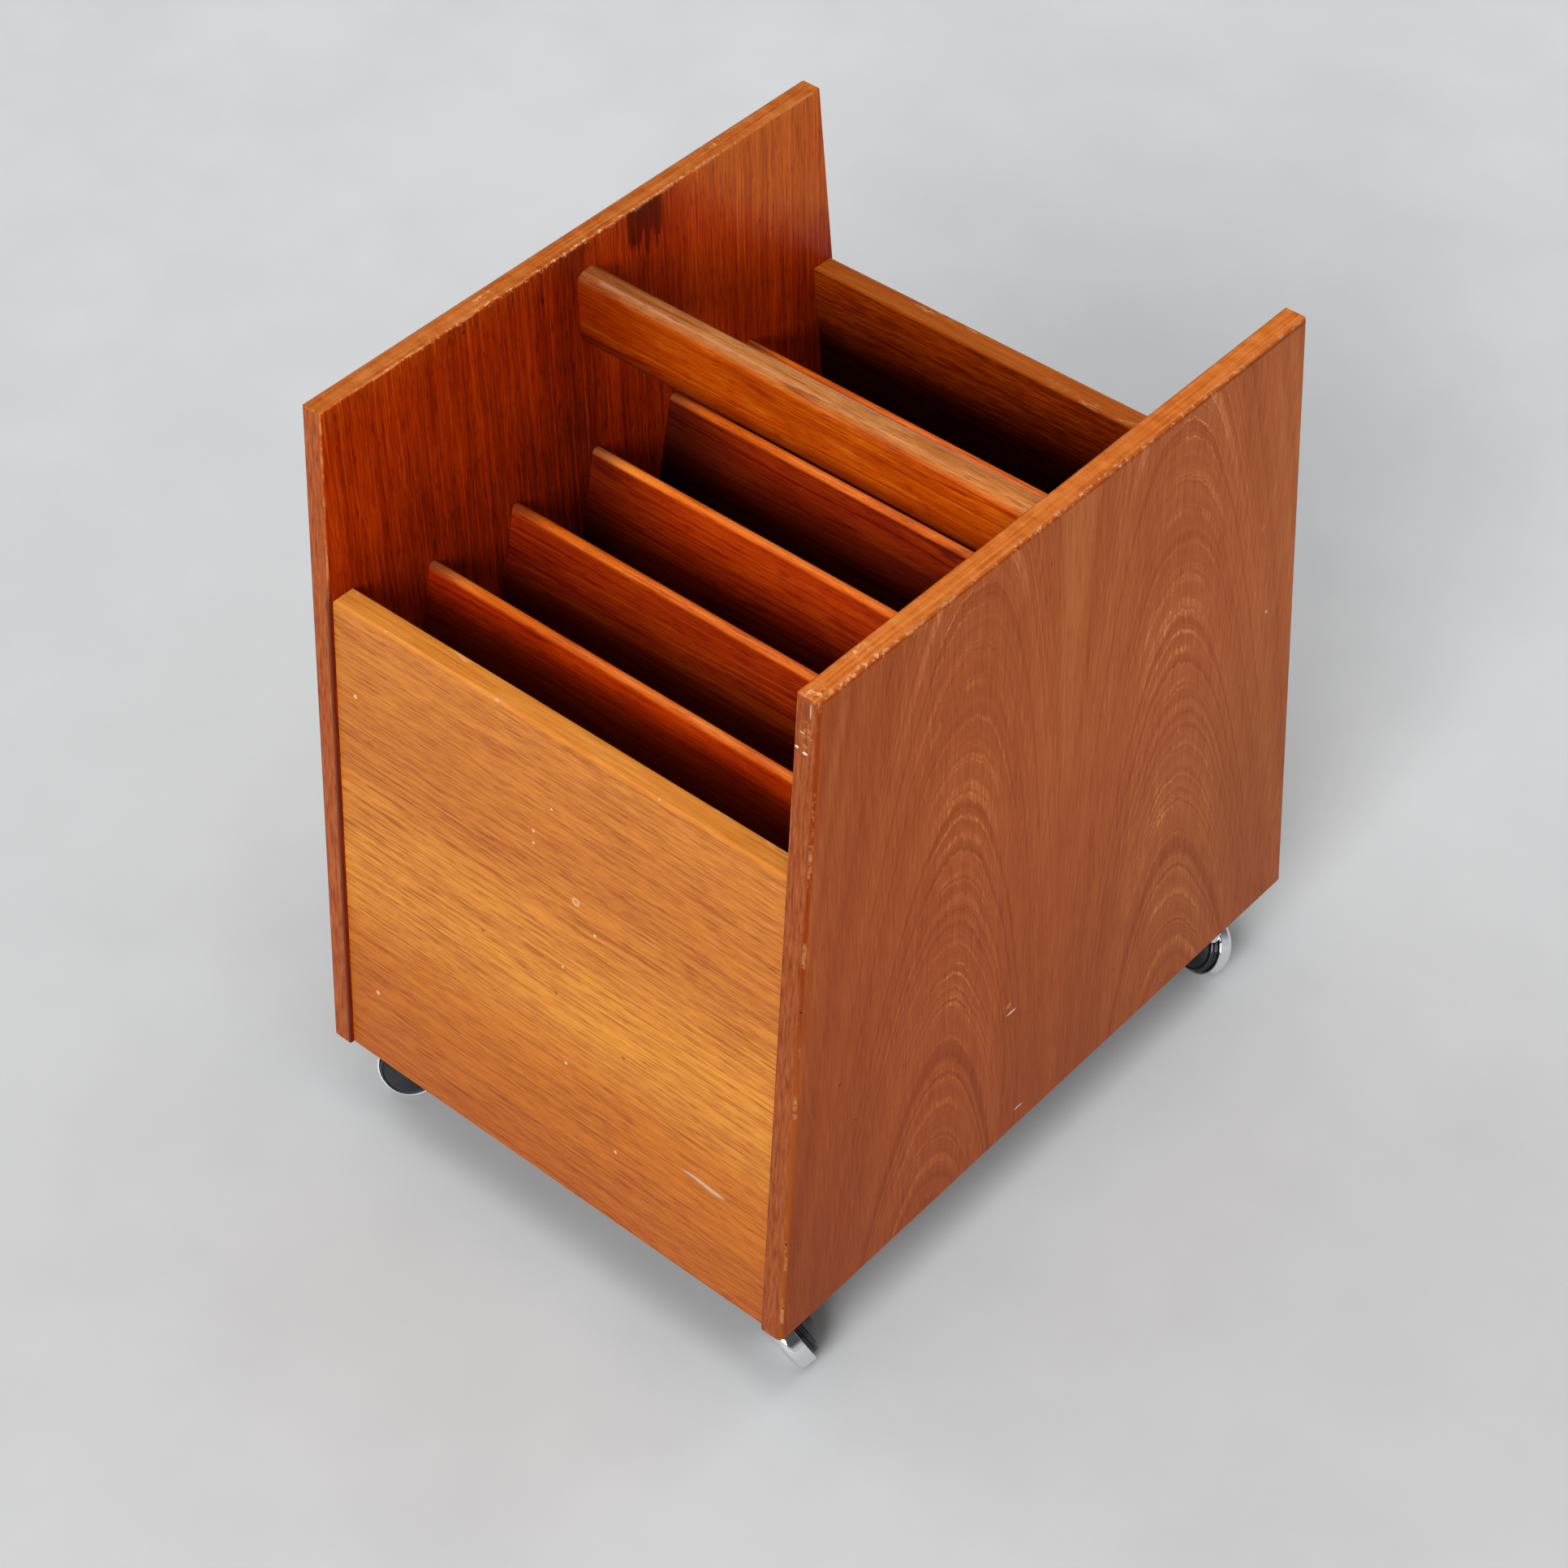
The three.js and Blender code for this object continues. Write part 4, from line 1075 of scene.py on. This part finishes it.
def platePiece():
    half, foot, top, ease = castor["plate"]
    plate = block("Plate", (-half * mm, -half * mm, foot * mm), (half * mm, half * mm, top * mm))
    for x, y in quarters:
        corner = Vector((x, y)) * half * mm
        roundEdges(
            plate, lambda *ends: all((end.xy - corner).length < tiny for end in ends), ease * mm, 8,
        )
    carve(plate, [turned("Race", castor["race"], 64)], "UNION")
    seat, out = castor["seatFoot"], top + beyond / 2
    cutters = [bore("pinBore", castor["race"][0][1] - beyond / 2, seat, 40), bore("pinSeat", seat, out, 40)]
    reach = castor["screwReach"] * mm
    for x, y in quarters:
        hole = bore("screwHole", foot - beyond / 2, out, 28)
        hole.location = (x * reach, y * reach, 0)
        cutters.append(hole)
    carve(plate, cutters)
    return plate


def screwPiece():
    screw = turned("Screw", castor["screw"], 32)
    long, half = 4 * mm, castor["slotHalf"] * mm
    slot = block("Slot", (-long, -half, 49 * mm), (long, half, castor["slotTop"] * mm))
    carve(screw, [slot])
    return screw


def settle(model, name, pivot, yaw, away=(0, 0), twist=0):
    # a copy with its own mesh, put where its castor stands
    takeUp(model)
    bpy.ops.object.duplicate()
    piece = bpy.context.active_object
    piece.name = piece.data.name = name
    reach = castor["screwReach"] * mm
    piece.location = (pivot.x + away[0] * reach, pivot.y + away[1] * reach, 0)
    piece.rotation_euler = (0, 0, yaw + twist)
    return apply(piece)


models = {
    "hood": hoodPiece(), "wheel": wheelPiece(), "cap": capPiece(), "plate": platePiece(),
    "screw": screwPiece(),
}
print("castor pieces modelled")
for corner in ("front_left", "front_right", "back_right", "back_left"):
    word = corner.title().replace("_", "")
    pivot, yaw = castorPlace(corner)[:2]
    for kind, finish, body, slot in (
        ("hood", chrome, "swivel_" + corner, "hood_chrome"),
        ("wheel", blackPlastic, "wheel_" + corner, "wheel_black"),
        ("cap", capPlastic, "wheel_" + corner, "wheel_black"),
    ):
        piece = settle(models[kind], "Castor" + kind.capitalize() + word, pivot, yaw)
        dress(piece, finish, body, [f"castor_{kind}_{corner}"], 30)
    plate = settle(models["plate"], "CastorPlate" + word, pivot, 0)
    dress(plate, zinc, "cabinet", ["castor_plate_" + corner], 30)
    for index, away in enumerate(quarters):
        screw = settle(models["screw"], f"PlateScrew{word}{index + 1}", pivot, 0, away, 0.7 * index)
        dress(screw, zinc, "cabinet", angle=30)
for model in models.values():
    bpy.data.objects.remove(model)
print("castors set")

# The hidden board, blocks, dowels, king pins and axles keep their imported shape; the board and the
# blocks have softened edges.
for name, node in frame["nodes"].items():
    if node.hide_render:
        continue
    finish = (
        beech if "dowel" in name else softwood if "block" in name else boardTeak if "board" in name else zinc
    )
    node.data.materials.clear()
    node.data.materials.append(finish.material)
    if "block" in name or "board" in name:
        softened = node.modifiers.new("SoftEdges", "BEVEL")
        softened.width = 0.4 * mm
        softened.segments = 2

# Studio
letGo()
bpy.ops.mesh.primitive_plane_add(size=14, location=(0, 0, 0))
floor = bpy.context.active_object
floor.name = "StudioFloor"
floorTones = {
    "clouds": tones(1, 0, (0.3, 203, 204, 205), (0.7, 209, 210, 211)),
    # painted light: the floor made lighter far away and towards the left
    "paintedLightNearToFar": [(0, (0.86, 0.86, 0.86)), (0.35, (0.9, 0.9, 0.9)), (1, (1.08, 1.08, 1.1))],
    "paintedLightRightToLeft": [(0, (1, 1, 1)), (0.4, (1.03, 1.03, 1.03)), (0.95, (1.13, 1.13, 1.13))],
}
finish = Finish("StudioFloor", Roughness=0.75, Specular_IOR_Level=0.12)
clouds = finish.noise((9, 9, 9), 4, 0.6)
x, y, z = finish.axes()
# floor clouds, with painted light making it lighter far away and towards the left
finish.feed("Base Color", clouds.ramp(floorTones["clouds"]).tint(
    ((y + 0.6) / 2.2).ramp(floorTones["paintedLightNearToFar"]).tint(
        ((y - x) * 0.5 + 0.4).ramp(floorTones["paintedLightRightToLeft"]),
    ),
))
floor.data.materials.append(finish.material)

room = {"colour": (0.985, 0.995, 1, 1), "light": 0.55, "dimming": 0.47, "dimFrom": 0.12, "dimTo": 0.4}
world = bpy.data.worlds.new("Studio")
bpy.context.scene.world = world
world.use_nodes = True
roomTree = world.node_tree
surround = roomTree.nodes["Background"]
surround.inputs["Color"].default_value = room["colour"]

# what mirrors sees a pale backdrop round the horizon and a darker room above it
rays = addNode(roomTree, "LightPath", {}, {})
height = addNode(roomTree, "SeparateXYZ", {}, {0: addNode(roomTree, "TexCoord", {}, {}).outputs["Generated"]})
dark = addNode(
    roomTree, "MapRange", {"interpolation_type": "SMOOTHSTEP"},
    {0: height.outputs["Z"], 1: room["dimFrom"], 2: room["dimTo"], 3: 0, 4: -room["dimming"]},
)
dimmed = addNode(
    roomTree, "Math", {"operation": "MULTIPLY_ADD"},
    {0: rays.outputs["Is Glossy Ray"], 1: dark.outputs[0], 2: room["light"]},
)
roomTree.links.new(dimmed.outputs[0], surround.inputs["Strength"])

lamps = {  # place, size and power
    "OverheadSoftbox": ((0.9, -0.8, 6), 2.8, 172),
    "FrontSoftbox": ((1.5, -4.3, 2.6), 2.2, 350),
    "BackSoftbox": ((0.75, 3.4, 5.1), 2.4, 58),
    "LeftSoftbox": ((-3.4, -0.5, 5.1), 2.4, 58),
}
middle = Vector((0, 0, 0.2))  # of the rack
for name, (position, size, power) in lamps.items():
    bpy.ops.object.light_add(type="AREA", location=position)
    lamp = bpy.context.active_object
    lamp.name = name
    lamp.data.size = size
    lamp.data.energy = power
    lamp.rotation_euler = (middle - Vector(position)).to_track_quat("-Z", "Y").to_euler()

view = {
    "position": (0.84276, -0.96141, 1.40831), "azimuth": 41.906, "elevation": 43.958, "roll": -1.096,
    "lens": 82.65, "sensor": 36,
}
bpy.ops.object.camera_add(location=view["position"])
camera = bpy.context.active_object
camera.name = "ViewCamera"
camera.data.lens = view["lens"]
camera.data.sensor_width = view["sensor"]
azimuth, elevation = math.radians(view["azimuth"]), math.radians(view["elevation"])
towards = -Vector((
    math.sin(azimuth) * math.cos(elevation), -math.cos(azimuth) * math.cos(elevation), math.sin(elevation),
))
turn = towards.to_track_quat("-Z", "Y").to_matrix().to_4x4()
roll = Matrix.Rotation(math.radians(view["roll"]), 4, "Z")
camera.matrix_world = Matrix.Translation(view["position"]) @ turn @ roll
bpy.context.scene.camera = camera
bpy.context.scene.view_settings.view_transform = "Standard"

bpy.context.view_layer.update()
print("studio ready")
